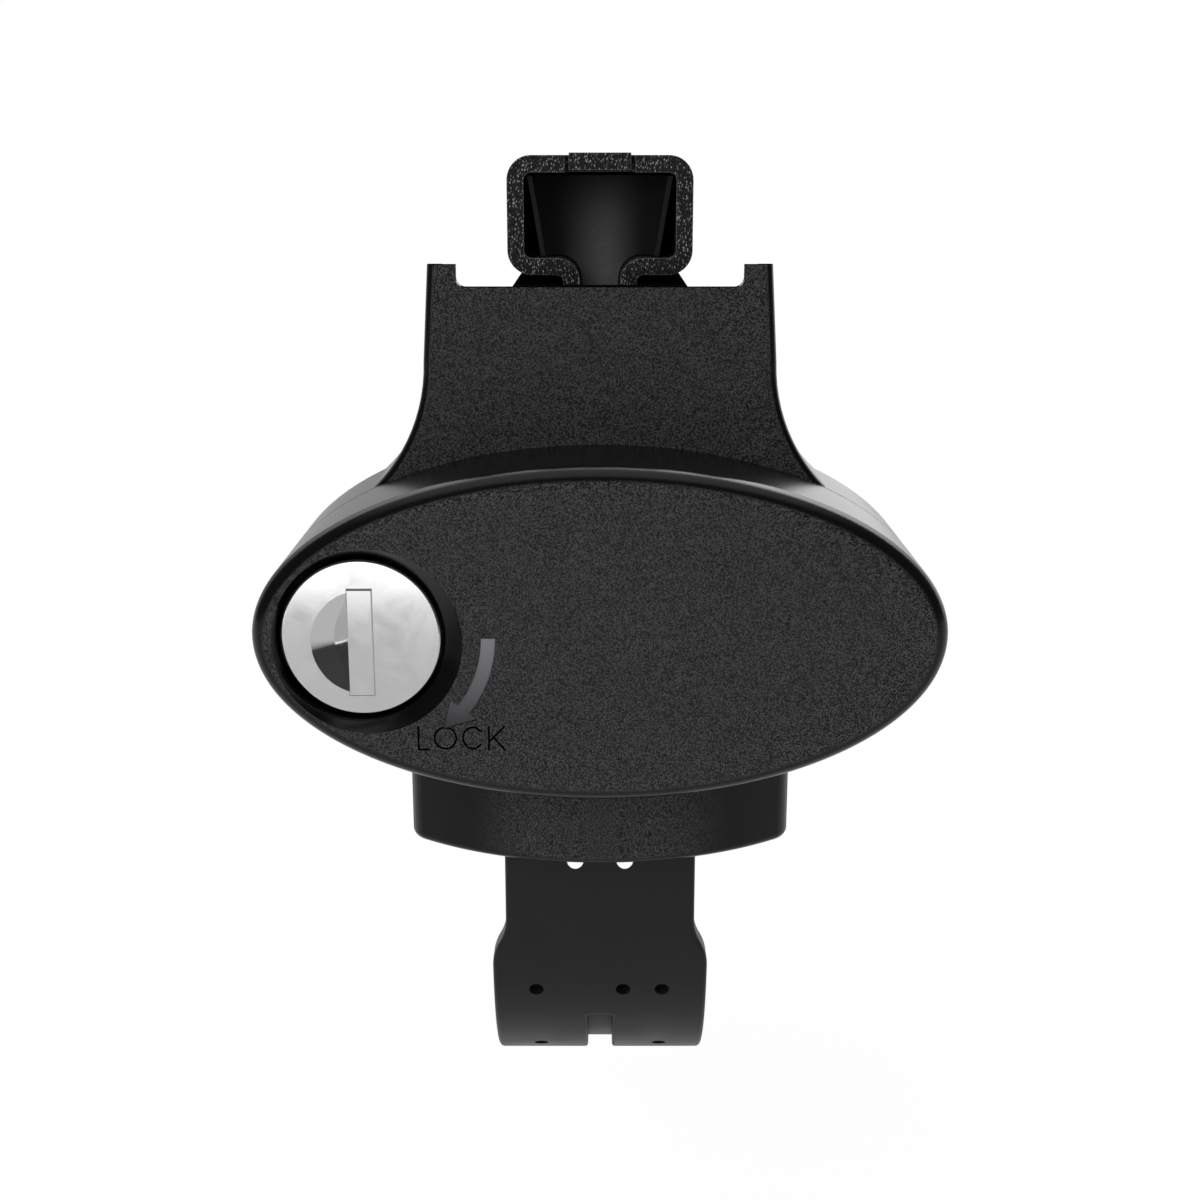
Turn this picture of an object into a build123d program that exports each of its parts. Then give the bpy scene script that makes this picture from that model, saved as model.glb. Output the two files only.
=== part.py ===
from build123d import *
import math
import os

# Roof bar foot: a lockable oval pod on a tower that clamps a load bar above to a roof rail below.
# Millimetres. X runs along the rail, Y inboard, Z up. The origin is the middle of the rail seat.

# Overrun of cuts past a face, and how close two places count as one
cut_overrun = 1.0
tolerance = 0.01

# Oval pod
pod_width = 141.5
pod_height = 70.5
pod_centre_z = 47.5
parting_y = -50.0
pod_ring_depth = 30.0
pod_wall = 3.0
pod_back_wall = 2.5
pod_back_radius = 6.0

# Front cover
cover_depth = 27.7
cover_wall = 2.8
cover_rim_radius = 4.0
cover_back_edge = 0.4
cover_gap = 0.3

# Latch panel with its spigot, inside the cover
spigot_length = 5.0
spigot_clearance = 0.35
spigot_wall = 2.5
panel_wall = 2.4
shoulder_depth = 3.0
window_width = 48.0
window_height = 21.0
window_radius = 4.0

# Neck that cradles the load bar
saddle_z = 115.5
saddle_thickness = 4.0
saddle_slot_side_room = 0.55
saddle_slot_end_room = 0.6
cradle_width = 60.0
prong_width = 5.9
prong_height = 4.6
prong_fillet = 2.0
neck_waist_z = 100.0
neck_draft = 1.25
neck_wall = 3.0
neck_depth = 26.0
neck_edge_radius = 2.0
neck_slope_drop = 26.0
neck_rib = 2.0
neck_rib_depth = 13.0
neck_rib_pitch = 11.0
wing_tip_x = 54.0
wing_root = 1.5

# Tower and base behind the neck
tower_wall = 2.5
tower_clearance = 0.3
base_width = 80.0
base_rear_y = 40.0
base_wall_top_z = 28.0
flare_top_z = 92.0
corner_radius = 6.0
floor_thickness = 6.0
split_y = -8.0
rear_cover_low_z = 17.0

# Skirt in front of the rail
skirt_width = 84.6
skirt_bulge = 15.0
skirt_bottom_z = -7.2
skirt_wall = 3.0
skirt_corner = 6.0
skirt_edge_radius = 2.0

# Rail pad
pad_thickness = 6.0
pad_width = 76.0
pad_margin = 2.5
pad_corner = 5.0
pad_edge = 1.0

# Steel frame
frame_thickness = 2.5
frame_inner_half = 13.0
frame_top_thickness = 3.0
frame_rear_y = 12.0
frame_front_gap = 1.0
frame_waist_z = 74.0
frame_leg_front_y = -10.0
frame_brace_z = 32.0
frame_foot_reach = 14.5
frame_foot_front_y = -8.0
frame_foot_rear_y = 24.0
frame_tab_width = 9.0
frame_tab_height = 14.0

# Bar head: folded channel that slides into the load bar
head_width = 39.0
head_height = 24.5
head_wall = 3.5
head_outer_radius = 5.1
head_inner_radius = 1.6
head_front_y = -42.0
head_length = 50.0
bar_floor_gap = 2.0
lip_gap = 8.5
lip_bend_radius = 1.5
lip_bottom_z = 95.0
tab_width = 13.0
tab_length = 12.0
tab_rise = 0.5
tab_slit = 0.9

# Head core: moulded funnel in the bar head, with a nose behind it and a keel between the lips
core_clearance = 0.25
core_setback = 2.0
core_foot_width = 25.0
core_rim = 1.0
core_wall = 2.5
core_keel_bottom_z = 110.0
core_nose_length = 19.0
core_nose_margin = 0.5
core_taper_deg = 9.0

# Hanger under the bar head
hanger_thickness = 3.0
hanger_front_y = -40.0
hanger_rear_y = -3.0
hanger_top_z = 103.0
hanger_bottom_z = 46.0
hanger_flange = 7.0
hanger_pin_radius = 2.5
hanger_pin_z = 99.5
hanger_pin_margin = 7.0
hanger_pin_overhang = 1.5
pin_clearance = 0.05

# Tension wheel, thrust washer and bolt
screw_y = -30.0
bolt_radius = 4.0
bolt_top_z = 72.0
bolt_head_flats = 13.0
bolt_head_height = 5.3
bolt_clearance = 0.05
wheel_radius = 17.0
wheel_height = 12.0
wheel_notch_count = 12
wheel_notch_radius = 2.6
wheel_tommy_count = 6
wheel_tommy_radius = 2.5
wheel_tommy_depth = 7.0
wheel_chamfer = 1.0
wheel_run_gap = 0.1
wheel_side_room = 2.0
wheel_top_room = 1.4
washer_radius = 14.0
washer_thickness = 1.5

# Rail hook
hook_centre_z = -32.9
hook_outer_radius = 48.0
hook_outer_rubber = 2.8
hook_steel_thickness = 3.0
hook_inner_rubber = 1.2
hook_sweep_deg = 140.0
hook_tip_rubber = 3.0
hook_leg_width = 43.5
hook_wide_width = 49.9
hook_shoulder_top_z = -28.4
hook_shoulder_height = 12.0
hook_side_rubber = 2.2
hook_rubber_top_z = -4.0
hook_top_steel_width = 34.0
hook_flange_top_z = 22.5
hook_flange_width = 24.0
hook_flange_past_bolt = 9.0
hook_bend_radius = 2.0
hook_edge_radius = 1.1
hook_tip_corner = 7.0
leg_hole_radius = 1.95
leg_hole_spacing = 11.4
leg_hole_z = -13.4
leg_hole_fall_deg = 24.0
leg_room = 1.0
base_front_room = 1.5
pit_radius = 1.7
upper_pit_deg = 17.2
upper_pit_x = (-14.9, 5.4, 14.5)
lower_pit_deg = 49.0
lower_pit_x = (-14.4, 14.4)
groove_width = 6.0
groove_start_deg = 28.3
groove_end_deg = 126.0
groove_lip = 0.7

# Latch knob and its pocket
knob_radius = 16.5
knob_from_end = 22.05
knob_above_centre = -0.4
knob_depth = 3.5
knob_thickness = 7.5
knob_edge = 0.6
pocket_radius = 17.4
pocket_mouth_radius = 19.3
pocket_mouth_shift = 1.7
pocket_wall = 2.4
grip_width = 5.3
grip_length = 22.6
grip_rise = 0.5
grip_drop = 1.0
grip_edge = 0.3
scoop_radius = 10.9
scoop_shift = 0.7
scoop_depth = 6.0
scoop_lip = 0.3
seal_inner_radius = 9.0
seal_outer_radius = 12.0
seal_thickness = 0.8
shaft_radius = 4.5
shaft_clearance = 0.05
bush_wall = 1.5
bush_flange_radius = 7.6
bush_flange_thickness = 1.0
hub_wall = 2.2
hub_length = 6.0
latch_washer_radius = 8.0
latch_washer_thickness = 1.0
latch_run_gap = 0.05
clip_radius = 6.6
clip_thickness = 1.0
clip_groove = 0.8
clip_mouth_deg = 70.0
cam_thickness = 2.5
cam_hub_radius = 6.0
cam_reach = 14.0
cam_width = 8.0
cam_behind_panel = 0.7
cam_room = 0.9
tang_size = 6.0
tang_clearance = 0.05
cam_screw_radius = 2.0
cam_screw_head_radius = 4.4
cam_screw_head_height = 2.2
cam_screw_depth = 8.0

# Marks beside the knob
arrow_radius = 24.4
arrow_width = 3.0
arrow_rise = 0.85
arrow_head_deg = 38.1
arrow_tip_deg = 52.2
arrow_barb = 2.0
arrow_depth = 0.5
letter_height = 5.0
letter_widths = (2.2, 4.8, 4.4, 3.2)
letter_gaps = (0.9, 1.0, 1.1)
letter_stroke = 0.4
letter_depth = 0.4
letter_left_x = -37.1
letter_base_z = 24.3

# Screws of the frame and the rear cover
frame_screw_radius = 2.4
frame_screw_head_radius = 4.2
frame_screw_head_height = 3.0
frame_screw_depth = 4.5
frame_screw_x = 23.0
frame_screw_margin = 7.0
rear_screw_radius = 1.95
rear_screw_head_radius = 3.8
rear_screw_head_height = 2.4
rear_screw_top_z = 100.0
rear_screw_low_x = 28.0
rear_screw_low_z = 23.0
boss_size = 9.0
boss_depth = 9.0
screw_clearance = 0.05
screw_tip_room = 1.0
boss_root = 1.0

# Places worked out from the sizes above
pod_front_y = parting_y - cover_gap - cover_depth
pod_rear_y = parting_y + pod_ring_depth
spigot_inset = cover_wall + spigot_clearance
spigot_inner_inset = spigot_inset + spigot_wall
panel_front_y = parting_y - spigot_length
panel_rear_y = panel_front_y + panel_wall
neck_rear_y = parting_y + neck_depth
neck_inner_y = parting_y + neck_wall
prong_top_z = saddle_z + prong_height
neck_half_top = cradle_width / 2 + prong_width
neck_half_waist = neck_half_top + neck_draft
frame_half = frame_inner_half + frame_thickness
frame_top_z = saddle_z - saddle_thickness
frame_front_y = neck_inner_y + frame_front_gap
tower_half = frame_half + tower_clearance + tower_wall
tower_rear_y = frame_rear_y + tower_clearance + tower_wall
floor_top_z = pad_thickness + floor_thickness
head_rear_y = head_front_y + head_length
head_bottom_z = saddle_z + bar_floor_gap
head_top_z = head_bottom_z + head_height
head_mid_z = head_bottom_z + head_height / 2
lip_inner = lip_gap / 2
lip_outer = lip_inner + head_wall
lip_bend_x = lip_outer + lip_bend_radius
lip_bend_z = head_bottom_z - lip_bend_radius
saddle_slot_half = lip_outer + saddle_slot_side_room
hanger_outer = lip_outer + hanger_thickness
hanger_seat_z = hanger_bottom_z + hanger_flange
wheel_bottom_z = hanger_seat_z + washer_thickness + wheel_run_gap
wheel_top_z = wheel_bottom_z + wheel_height
wheel_mid_z = wheel_bottom_z + wheel_height / 2
hook_thickness = hook_outer_rubber + hook_steel_thickness + hook_inner_rubber
steel_outer_radius = hook_outer_radius - hook_outer_rubber
steel_inner_radius = steel_outer_radius - hook_steel_thickness
hook_inner_radius = hook_outer_radius - hook_thickness
leg_front_y = -hook_outer_radius
leg_rear_y = -hook_inner_radius
base_front_y = leg_rear_y + base_front_room
knob_x = knob_from_end - pod_width / 2
knob_z = pod_centre_z + knob_above_centre
knob_face_y = pod_front_y + knob_depth
knob_back_y = knob_face_y + knob_thickness
pocket_floor_y = knob_back_y + seal_thickness
cup_back_y = pocket_floor_y + pocket_wall
hub_back_y = cup_back_y + hub_length
bush_radius = shaft_radius + shaft_clearance + bush_wall
washer_front_y = hub_back_y + bush_flange_thickness + latch_run_gap
washer_back_y = washer_front_y + latch_washer_thickness
clip_back_y = washer_back_y + clip_thickness
cam_front_y = panel_rear_y + cam_behind_panel
cam_back_y = cam_front_y + cam_thickness


def across(outline, y_from, y_to):
    """Solid from an outline drawn as (x, z), between two depths."""
    plane = Plane(origin=(0, y_to, 0), x_dir=(1, 0, 0), z_dir=(0, -1, 0))
    return extrude(plane * outline, y_to - y_from)


def sideways(outline, x_from, x_to):
    """Solid from a side outline drawn as (y, z), between two places along the rail."""
    plane = Plane(origin=(x_from, 0, 0), x_dir=(0, 1, 0), z_dir=(1, 0, 0))
    return extrude(plane * outline, x_to - x_from)


def upright(outline, z_from, z_to):
    """Solid from a plan outline, between two heights."""
    return extrude(Plane.XY.offset(z_from) * outline, z_to - z_from)


def polygon(*points):
    """Face inside a closed run of straight lines."""
    return make_face(Polyline(*points, close=True))


def block(x_range, y_range, z_range):
    """Box between three pairs of limits."""
    size = [high - low for low, high in (x_range, y_range, z_range)]
    middle = [(high + low) / 2 for low, high in (x_range, y_range, z_range)]
    return Pos(*middle) * Box(*size)


def rod_along_y(x, z, radius, y_from, y_to):
    """Round bar along Y."""
    return across(Pos(x, z) * Circle(radius), y_from, y_to)


def both_sides(solid):
    """A solid and its mirror image across the middle plane."""
    return solid + mirror(solid, about=Plane.YZ)


def pod_oval(inset):
    """The pod's oval outline, drawn inside the outer surface by an inset."""
    return Pos(0, pod_centre_z) * Ellipse(pod_width / 2 - inset, pod_height / 2 - inset)


def oval_height(x):
    """Height of the pod's upper edge at a place along the rail."""
    return pod_centre_z + pod_height / 2 * math.sqrt(1 - (2 * x / pod_width) ** 2)


def s_curve(start, end):
    """Two equal arcs, upright at both ends, from one point of an outline to another."""
    middle = ((start[0] + end[0]) / 2, (start[1] + end[1]) / 2)
    way = (0, math.copysign(1, end[1] - start[1]))
    back = (0, -way[1])
    return [TangentArc(start, middle, tangent=way), TangentArc(end, middle, tangent=back)]


def neck_outline(inset, top_z):
    """Front outline of the neck with its flared wings, drawn inside by an inset."""
    tip_x = wing_tip_x - inset
    tip = (tip_x, oval_height(tip_x) - wing_root)
    top = (neck_half_top - inset, top_z)
    waist = (neck_half_waist - inset, neck_waist_z)
    root = (tip_x / 2, pod_centre_z)
    edges = [Line((0, pod_centre_z), (0, top_z)), Line((0, top_z), top), Line(top, waist)]
    edges += [TangentArc(waist, tip, tangent=(0, -1)), Line(tip, root), Line(root, (0, pod_centre_z))]
    half = make_face(edges)
    return half + mirror(half, about=Plane.YZ)


def tower_front(inset, top_z, low_z):
    """Front outline of the tower, which widens to the base."""
    narrow = tower_half - inset
    wide = base_width / 2 - inset
    edges = [Line((0, low_z), (0, top_z)), Line((0, top_z), (narrow, top_z))]
    edges += [Line((narrow, top_z), (narrow, flare_top_z))]
    edges += s_curve((narrow, flare_top_z), (wide, base_wall_top_z))
    edges += [Line((wide, base_wall_top_z), (wide, low_z)), Line((wide, low_z), (0, low_z))]
    half = make_face(edges)
    return half + mirror(half, about=Plane.YZ)


def tower_side(inset, front_y, top_z, low_z, foot_front_y):
    """Side outline of the tower, whose rear runs out over the base."""
    narrow = tower_rear_y - inset
    wide = base_rear_y - inset
    shelf = floor_top_z
    edges = [Line((front_y, shelf), (front_y, top_z)), Line((front_y, top_z), (narrow, top_z))]
    edges += [Line((narrow, top_z), (narrow, flare_top_z))]
    edges += s_curve((narrow, flare_top_z), (wide, base_wall_top_z))
    edges += [Line((wide, base_wall_top_z), (wide, low_z))]
    if low_z < shelf:
        edges += [Line((wide, low_z), (foot_front_y, low_z))]
        edges += [Line((foot_front_y, low_z), (foot_front_y, shelf))]
        edges += [Line((foot_front_y, shelf), (front_y, shelf))]
    else:
        edges += [Line((wide, low_z), (front_y, low_z))]
    return make_face(edges)


def tower_solid():
    """The tower and base as one filled body with rounded rear corners."""
    front = across(tower_front(0, saddle_z, pad_thickness), parting_y, base_rear_y)
    outline = tower_side(0, parting_y, saddle_z, pad_thickness, base_front_y)
    body = front & sideways(outline, -base_width / 2, base_width / 2)
    rear_corners = [e for e in body.edges() if is_rear_corner(e)]
    return fillet(rear_corners, corner_radius)


def is_rear_corner(edge):
    """True for the edges that run up the two rear corners of the tower."""
    box = edge.bounding_box()
    upright_run = box.max.Z - box.min.Z
    flat_run = max(box.max.X - box.min.X, box.max.Y - box.min.Y)
    return box.min.Y > tower_rear_y - tolerance and upright_run > flat_run and upright_run > tower_wall / 2


def tower_cavity():
    """The hollow inside the tower, from the floor to the underside of the saddle."""
    front = across(tower_front(tower_wall, frame_top_z, floor_top_z), neck_inner_y, base_rear_y)
    outline = tower_side(tower_wall, neck_inner_y, frame_top_z, floor_top_z, base_front_y)
    return front & sideways(outline, -base_width / 2, base_width / 2)


def rear_region():
    """The room that the rear cover takes up."""
    reach = base_width
    return block((-reach, reach), (split_y, 2 * base_rear_y), (rear_cover_low_z, frame_top_z))


def make_pod():
    """Oval ring with an inner shoulder at its front."""
    ring = across(pod_oval(0), parting_y, pod_rear_y)
    ring = fillet(ring.edges().group_by(Axis.Y)[-1], pod_back_radius)
    ring -= across(pod_oval(pod_wall), parting_y, pod_rear_y - pod_back_wall)
    return ring + across(pod_oval(0) - pod_oval(spigot_inner_inset), parting_y, parting_y + shoulder_depth)


def make_latch_panel():
    """Panel on the pod's shoulder: a spigot that centres the cover, a tool window and the cam's keyhole."""
    panel = across(pod_oval(spigot_inset), panel_front_y, parting_y)
    panel -= across(pod_oval(spigot_inner_inset), panel_rear_y, parting_y)
    window = Pos(0, wheel_mid_z) * RectangleRounded(window_width, window_height, window_radius)
    panel -= across(window, panel_front_y, panel_rear_y)
    slot_half = cam_width / 2 + cam_room
    slot_top = cam_reach + cam_room
    keyhole = Pos(knob_x, knob_z) * Circle(cam_hub_radius + cam_room)
    keyhole += Pos(knob_x, knob_z + slot_top / 2) * Rectangle(2 * slot_half, slot_top)
    return panel - across(keyhole, panel_front_y, panel_rear_y)


def make_neck():
    """Cradle for the load bar: a front wall with rounded sides, prongs and ribs behind it."""
    shell = across(neck_outline(0, prong_top_z), parting_y, neck_rear_y)
    sides = [e for e in shell.edges().group_by(Axis.Y)[0] if is_neck_side(e)]
    shell = fillet(sides, neck_edge_radius)
    shell -= across(neck_outline(neck_wall, prong_top_z), neck_inner_y, neck_rear_y)
    cradle = RectangleRounded(cradle_width, 2 * prong_height, prong_fillet)
    cradle = Pos(0, prong_top_z) * cradle
    cradle += Pos(0, prong_top_z) * Rectangle(cradle_width, prong_height)
    shell -= across(cradle, parting_y, neck_rear_y)
    slope_start = neck_inner_y + neck_rib / 2
    slope = polygon(
        (slope_start, prong_top_z + prong_height),
        (slope_start, saddle_z + prong_fillet),
        (neck_rear_y, saddle_z + prong_fillet - neck_slope_drop),
        (neck_rear_y, prong_top_z + prong_height),
    )
    shell -= sideways(slope, -pod_width, pod_width)
    rib_half = neck_half_waist - neck_wall / 2
    for step in range(3):
        rib_z = saddle_z - neck_slope_drop / 2 - step * neck_rib_pitch
        rib_y = (neck_inner_y - neck_wall / 2, neck_inner_y + neck_rib_depth)
        shell += block((-rib_half, rib_half), rib_y, (rib_z - neck_rib / 2, rib_z + neck_rib / 2))
    return shell - across(pod_oval(pod_wall), parting_y, neck_rear_y)


def is_neck_side(edge):
    """True for the front edges down the two sides of the neck."""
    middle = edge.center()
    beside_cradle = abs(middle.X) > neck_half_top - tolerance
    below_prongs = neck_waist_z / 2 < middle.Z < prong_top_z - tolerance
    return beside_cradle and below_prongs and abs(edge @ 0 - edge @ 1) > prong_height


def skirt_plan(inset, rear_y):
    """Plan of the skirt: a bowed front with rounded corners and straight sides."""
    half = skirt_width / 2 - inset
    corner_y = parting_y
    nose = (0, parting_y - skirt_bulge + inset)
    bow = ThreePointArc((-half, corner_y), nose, (half, corner_y))
    sides = [Line((half, corner_y), (half, rear_y)), Line((half, rear_y), (-half, rear_y))]
    face = make_face([bow, *sides, Line((-half, rear_y), (-half, corner_y))])
    corners = face.vertices().filter_by_position(Axis.Y, corner_y - tolerance, corner_y + tolerance)
    return fillet(corners, skirt_corner - inset)


def make_skirt():
    """Bowed apron below the pod that hides the top of the hook, open underneath."""
    skirt = upright(skirt_plan(0, base_front_y), skirt_bottom_z, pod_centre_z)
    skirt = fillet(skirt.edges().group_by(Axis.Z)[0].group_by(Axis.Y)[0:-1], skirt_edge_radius)
    hollow = upright(skirt_plan(skirt_wall, base_front_y), skirt_bottom_z, pod_centre_z)
    roof_inset = -cover_gap - skirt_wall
    hollow -= across(pod_oval(roof_inset), pod_front_y, parting_y + cover_gap)
    hollow -= across(pod_oval(0), parting_y, base_front_y)
    skirt -= hollow
    skirt -= across(pod_oval(-cover_gap), pod_front_y, parting_y)
    return skirt - across(pod_oval(pod_wall), parting_y, base_front_y)


def floor_screw_places():
    """Plan places of the screws that hold the frame's feet."""
    low = frame_foot_front_y + frame_screw_margin
    high = frame_foot_rear_y - frame_screw_margin
    return [(side * frame_screw_x, y) for side in (-1, 1) for y in (low, high)]


def rear_screw_places():
    """Places of the rear cover's screws: x, height, seat on the outer face and depth of the tip."""
    upper_x = frame_inner_half - frame_tab_width / 2
    tip = frame_rear_y - frame_thickness - screw_tip_room
    upper = [(side * upper_x, rear_screw_top_z, tower_rear_y, tip) for side in (-1, 1)]
    low_tip = base_rear_y - tower_wall - boss_depth + screw_tip_room
    lower = [(side * rear_screw_low_x, rear_screw_low_z, base_rear_y, low_tip) for side in (-1, 1)]
    return upper + lower


def make_main_housing():
    """Moulded body: pod ring, neck, tower front, base floor and skirt in one."""
    tower = tower_solid() - rear_region()
    tower -= across(pod_oval(spigot_inner_inset), parting_y, neck_inner_y)
    housing = make_pod() + make_neck() + make_skirt() + tower
    housing -= tower_cavity()
    slot_half = hook_leg_width / 2 + leg_room
    slot_y = (leg_front_y - leg_room, base_front_y)
    housing -= block((-slot_half, slot_half), slot_y, (skirt_bottom_z, hanger_bottom_z))
    lips_y = (head_front_y - saddle_slot_end_room, head_rear_y + saddle_slot_end_room)
    housing -= block((-saddle_slot_half, saddle_slot_half), lips_y, (frame_top_z, saddle_z))
    boss_rear = base_rear_y - tower_wall
    boss_x = (rear_screw_low_x - boss_size / 2, rear_screw_low_x + boss_size / 2)
    boss_z = (floor_top_z - boss_root, rear_screw_low_z + boss_size / 2)
    housing += both_sides(block(boss_x, (boss_rear - boss_depth, boss_rear), boss_z))
    for x, z, seat, tip in rear_screw_places():
        housing -= rod_along_y(x, z, rear_screw_radius + screw_clearance, tip, seat)
    for x, y in floor_screw_places():
        hole = Pos(x, y) * Circle(frame_screw_radius + screw_clearance)
        housing -= upright(hole, floor_top_z - frame_screw_depth, floor_top_z)
    return housing


def make_rear_cover():
    """Moulded rear half of the tower."""
    cover = (tower_solid() - tower_cavity()) & rear_region()
    for x, z, seat, tip in rear_screw_places():
        cover -= rod_along_y(x, z, rear_screw_radius + screw_clearance, tip, seat)
    return cover


def make_rear_screws():
    """Pan head screws of the rear cover."""
    screws = []
    for x, z, seat, tip in rear_screw_places():
        head = rod_along_y(x, z, rear_screw_head_radius, seat, seat + rear_screw_head_height)
        head = fillet(head.edges().group_by(Axis.Y)[-1], rear_screw_head_height / 3)
        cross = Rectangle(rear_screw_head_radius, rear_screw_radius / 2)
        cross += Rectangle(rear_screw_radius / 2, rear_screw_head_radius)
        top = seat + rear_screw_head_height
        head -= across(Pos(x, z) * cross, top - rear_screw_head_height / 2, top)
        screws.append(head + rod_along_y(x, z, rear_screw_radius, tip, seat))
    return screws


def make_steel_frame():
    """Folded steel frame that carries the bar's load down to the base."""
    side = polygon(
        (frame_front_y, frame_top_z),
        (frame_rear_y, frame_top_z),
        (frame_rear_y, frame_brace_z),
        (frame_foot_rear_y + frame_thickness, floor_top_z),
        (frame_leg_front_y, floor_top_z),
        (frame_leg_front_y, frame_waist_z),
        (frame_front_y, frame_waist_z),
    )
    frame = both_sides(sideways(side, frame_inner_half, frame_half))
    top_y = (frame_front_y, frame_rear_y)
    frame += block((-frame_half, frame_half), top_y, (frame_top_z - frame_top_thickness, frame_top_z))
    lips_y = (head_front_y - saddle_slot_end_room, head_rear_y + saddle_slot_end_room)
    slot_z = (frame_top_z - frame_top_thickness, frame_top_z)
    frame -= block((-saddle_slot_half, saddle_slot_half), lips_y, slot_z)
    foot_y = (frame_foot_front_y, frame_foot_rear_y)
    foot_x = (frame_half - frame_thickness / 2, frame_half + frame_foot_reach)
    frame += both_sides(block(foot_x, foot_y, (floor_top_z, floor_top_z + frame_thickness)))
    tab_x = (frame_inner_half - frame_tab_width, frame_inner_half + frame_thickness / 2)
    tab_z = (rear_screw_top_z - frame_tab_height / 2, rear_screw_top_z + frame_tab_height / 2)
    frame += both_sides(block(tab_x, (frame_rear_y - frame_thickness, frame_rear_y), tab_z))
    for x, z, seat, tip in rear_screw_places()[:2]:
        frame -= rod_along_y(x, z, rear_screw_radius + screw_clearance, tip, seat)
    for x, y in floor_screw_places():
        hole = Pos(x, y) * Circle(frame_screw_radius + screw_clearance)
        frame -= upright(hole, floor_top_z, floor_top_z + frame_thickness)
    return frame


def make_frame_screws():
    """Screws that hold the frame's feet to the base floor."""
    screws = []
    for x, y in floor_screw_places():
        seat = floor_top_z + frame_thickness
        head = upright(Pos(x, y) * Circle(frame_screw_head_radius), seat, seat + frame_screw_head_height)
        head = fillet(head.edges().group_by(Axis.Z)[-1], frame_screw_head_height / 3)
        socket = Pos(x, y) * RegularPolygon(frame_screw_radius, 6)
        head -= upright(socket, seat + frame_screw_head_height / 2, seat + frame_screw_head_height)
        shank = upright(Pos(x, y) * Circle(frame_screw_radius), floor_top_z - frame_screw_depth, seat)
        screws.append(head + shank)
    return screws


def make_rail_pad():
    """Rubber pad that sits on the rail."""
    length = base_rear_y - base_front_y - 2 * pad_margin
    middle = (base_rear_y + base_front_y) / 2
    pad = upright(Pos(0, middle) * RectangleRounded(pad_width, length, pad_corner), 0, pad_thickness)
    return fillet(pad.edges().group_by(Axis.Z)[0], pad_edge)


def arrow_outline():
    """Curved arrow round the mouth of the knob's pocket, from its right towards the foot of the pod."""
    half = arrow_width / 2
    inner, outer = arrow_radius - half, arrow_radius + half
    mouth_x = knob_x + pocket_mouth_shift

    def at(radius, degrees):
        turn = math.radians(degrees)
        return (mouth_x + radius * math.cos(turn), knob_z + arrow_rise - radius * math.sin(turn))

    middle = arrow_head_deg / 2
    edges = [ThreePointArc(at(inner, 0), at(inner, middle), at(inner, arrow_head_deg))]
    edges += [Line(at(inner, arrow_head_deg), at(inner - arrow_barb, arrow_head_deg))]
    edges += [Line(at(inner - arrow_barb, arrow_head_deg), at(arrow_radius, arrow_tip_deg))]
    edges += [Line(at(arrow_radius, arrow_tip_deg), at(outer + arrow_barb, arrow_head_deg))]
    edges += [Line(at(outer + arrow_barb, arrow_head_deg), at(outer, arrow_head_deg))]
    edges += [ThreePointArc(at(outer, arrow_head_deg), at(outer, middle), at(outer, 0))]
    edges += [Line(at(outer, 0), at(inner, 0))]
    return make_face(edges)


def stroke(start, end):
    """One straight stroke of a letter."""
    length = math.dist(start, end)
    angle = math.degrees(math.atan2(end[1] - start[1], end[0] - start[0]))
    middle = ((start[0] + end[0]) / 2, (start[1] + end[1]) / 2)
    return Pos(*middle) * Rot(0, 0, angle) * Rectangle(length + letter_stroke / 2, letter_stroke)


def round_letter(width, open_side):
    """Letter O, or letter C where its side is open."""
    letter = Ellipse(width / 2, letter_height / 2)
    letter -= Ellipse(width / 2 - letter_stroke, letter_height / 2 - letter_stroke)
    if open_side:
        letter -= Pos(width / 2, 0) * Rectangle(width / 2, letter_height / 2)
    return Pos(width / 2, letter_height / 2) * letter


def lettering():
    """The plain word LOCK in thin strokes."""
    h = letter_height
    l_width, o_width, c_width, k_width = letter_widths
    arm_root = (0, h / 3)
    leg_root = (k_width / 3, h / 2)
    letters = [
        stroke((0, h), (0, 0)) + stroke((0, 0), (l_width, 0)),
        round_letter(o_width, False),
        round_letter(c_width, True),
        stroke((0, 0), (0, h)) + stroke(arm_root, (k_width, h)) + stroke(leg_root, (k_width, 0)),
    ]
    left = letter_left_x
    placed = []
    for letter, width, gap in zip(letters, letter_widths, (*letter_gaps, 0)):
        placed.append(Pos(left, letter_base_z) * letter)
        left += width + gap
    return placed


def make_front_cover():
    """Deep oval cap with the knob's pocket, arrow and lettering."""
    rear_y = parting_y - cover_gap
    outer = across(pod_oval(0), pod_front_y, rear_y)
    outer = fillet(outer.edges().group_by(Axis.Y)[0], cover_rim_radius)
    outer = fillet(outer.edges().group_by(Axis.Y)[-1], cover_back_edge)
    inner = across(pod_oval(cover_wall), pod_front_y + cover_wall, rear_y)
    inner = fillet(inner.edges().group_by(Axis.Y)[0], cover_rim_radius - cover_wall)
    cup_radius = pocket_radius + pocket_wall
    cup_outline = Circle(cup_radius) + Pos(-cup_radius, 0) * Rectangle(2 * cup_radius, 2 * cup_radius)
    cup = across(Pos(knob_x, knob_z) * cup_outline, pod_front_y, cup_back_y)
    hub = rod_along_y(knob_x, knob_z, bush_radius + hub_wall, cup_back_y, hub_back_y)
    cover = outer - inner + (cup & outer) + hub
    cover -= rod_along_y(knob_x, knob_z, pocket_radius, knob_face_y - cut_overrun, pocket_floor_y)
    cover -= pocket_mouth()
    cover -= rod_along_y(knob_x, knob_z, bush_radius, pocket_floor_y, hub_back_y)
    cover -= across(arrow_outline(), pod_front_y - cut_overrun, pod_front_y + arrow_depth)
    for letter in lettering():
        cover -= across(letter, pod_front_y - cut_overrun, pod_front_y + letter_depth)
    return cover


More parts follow.
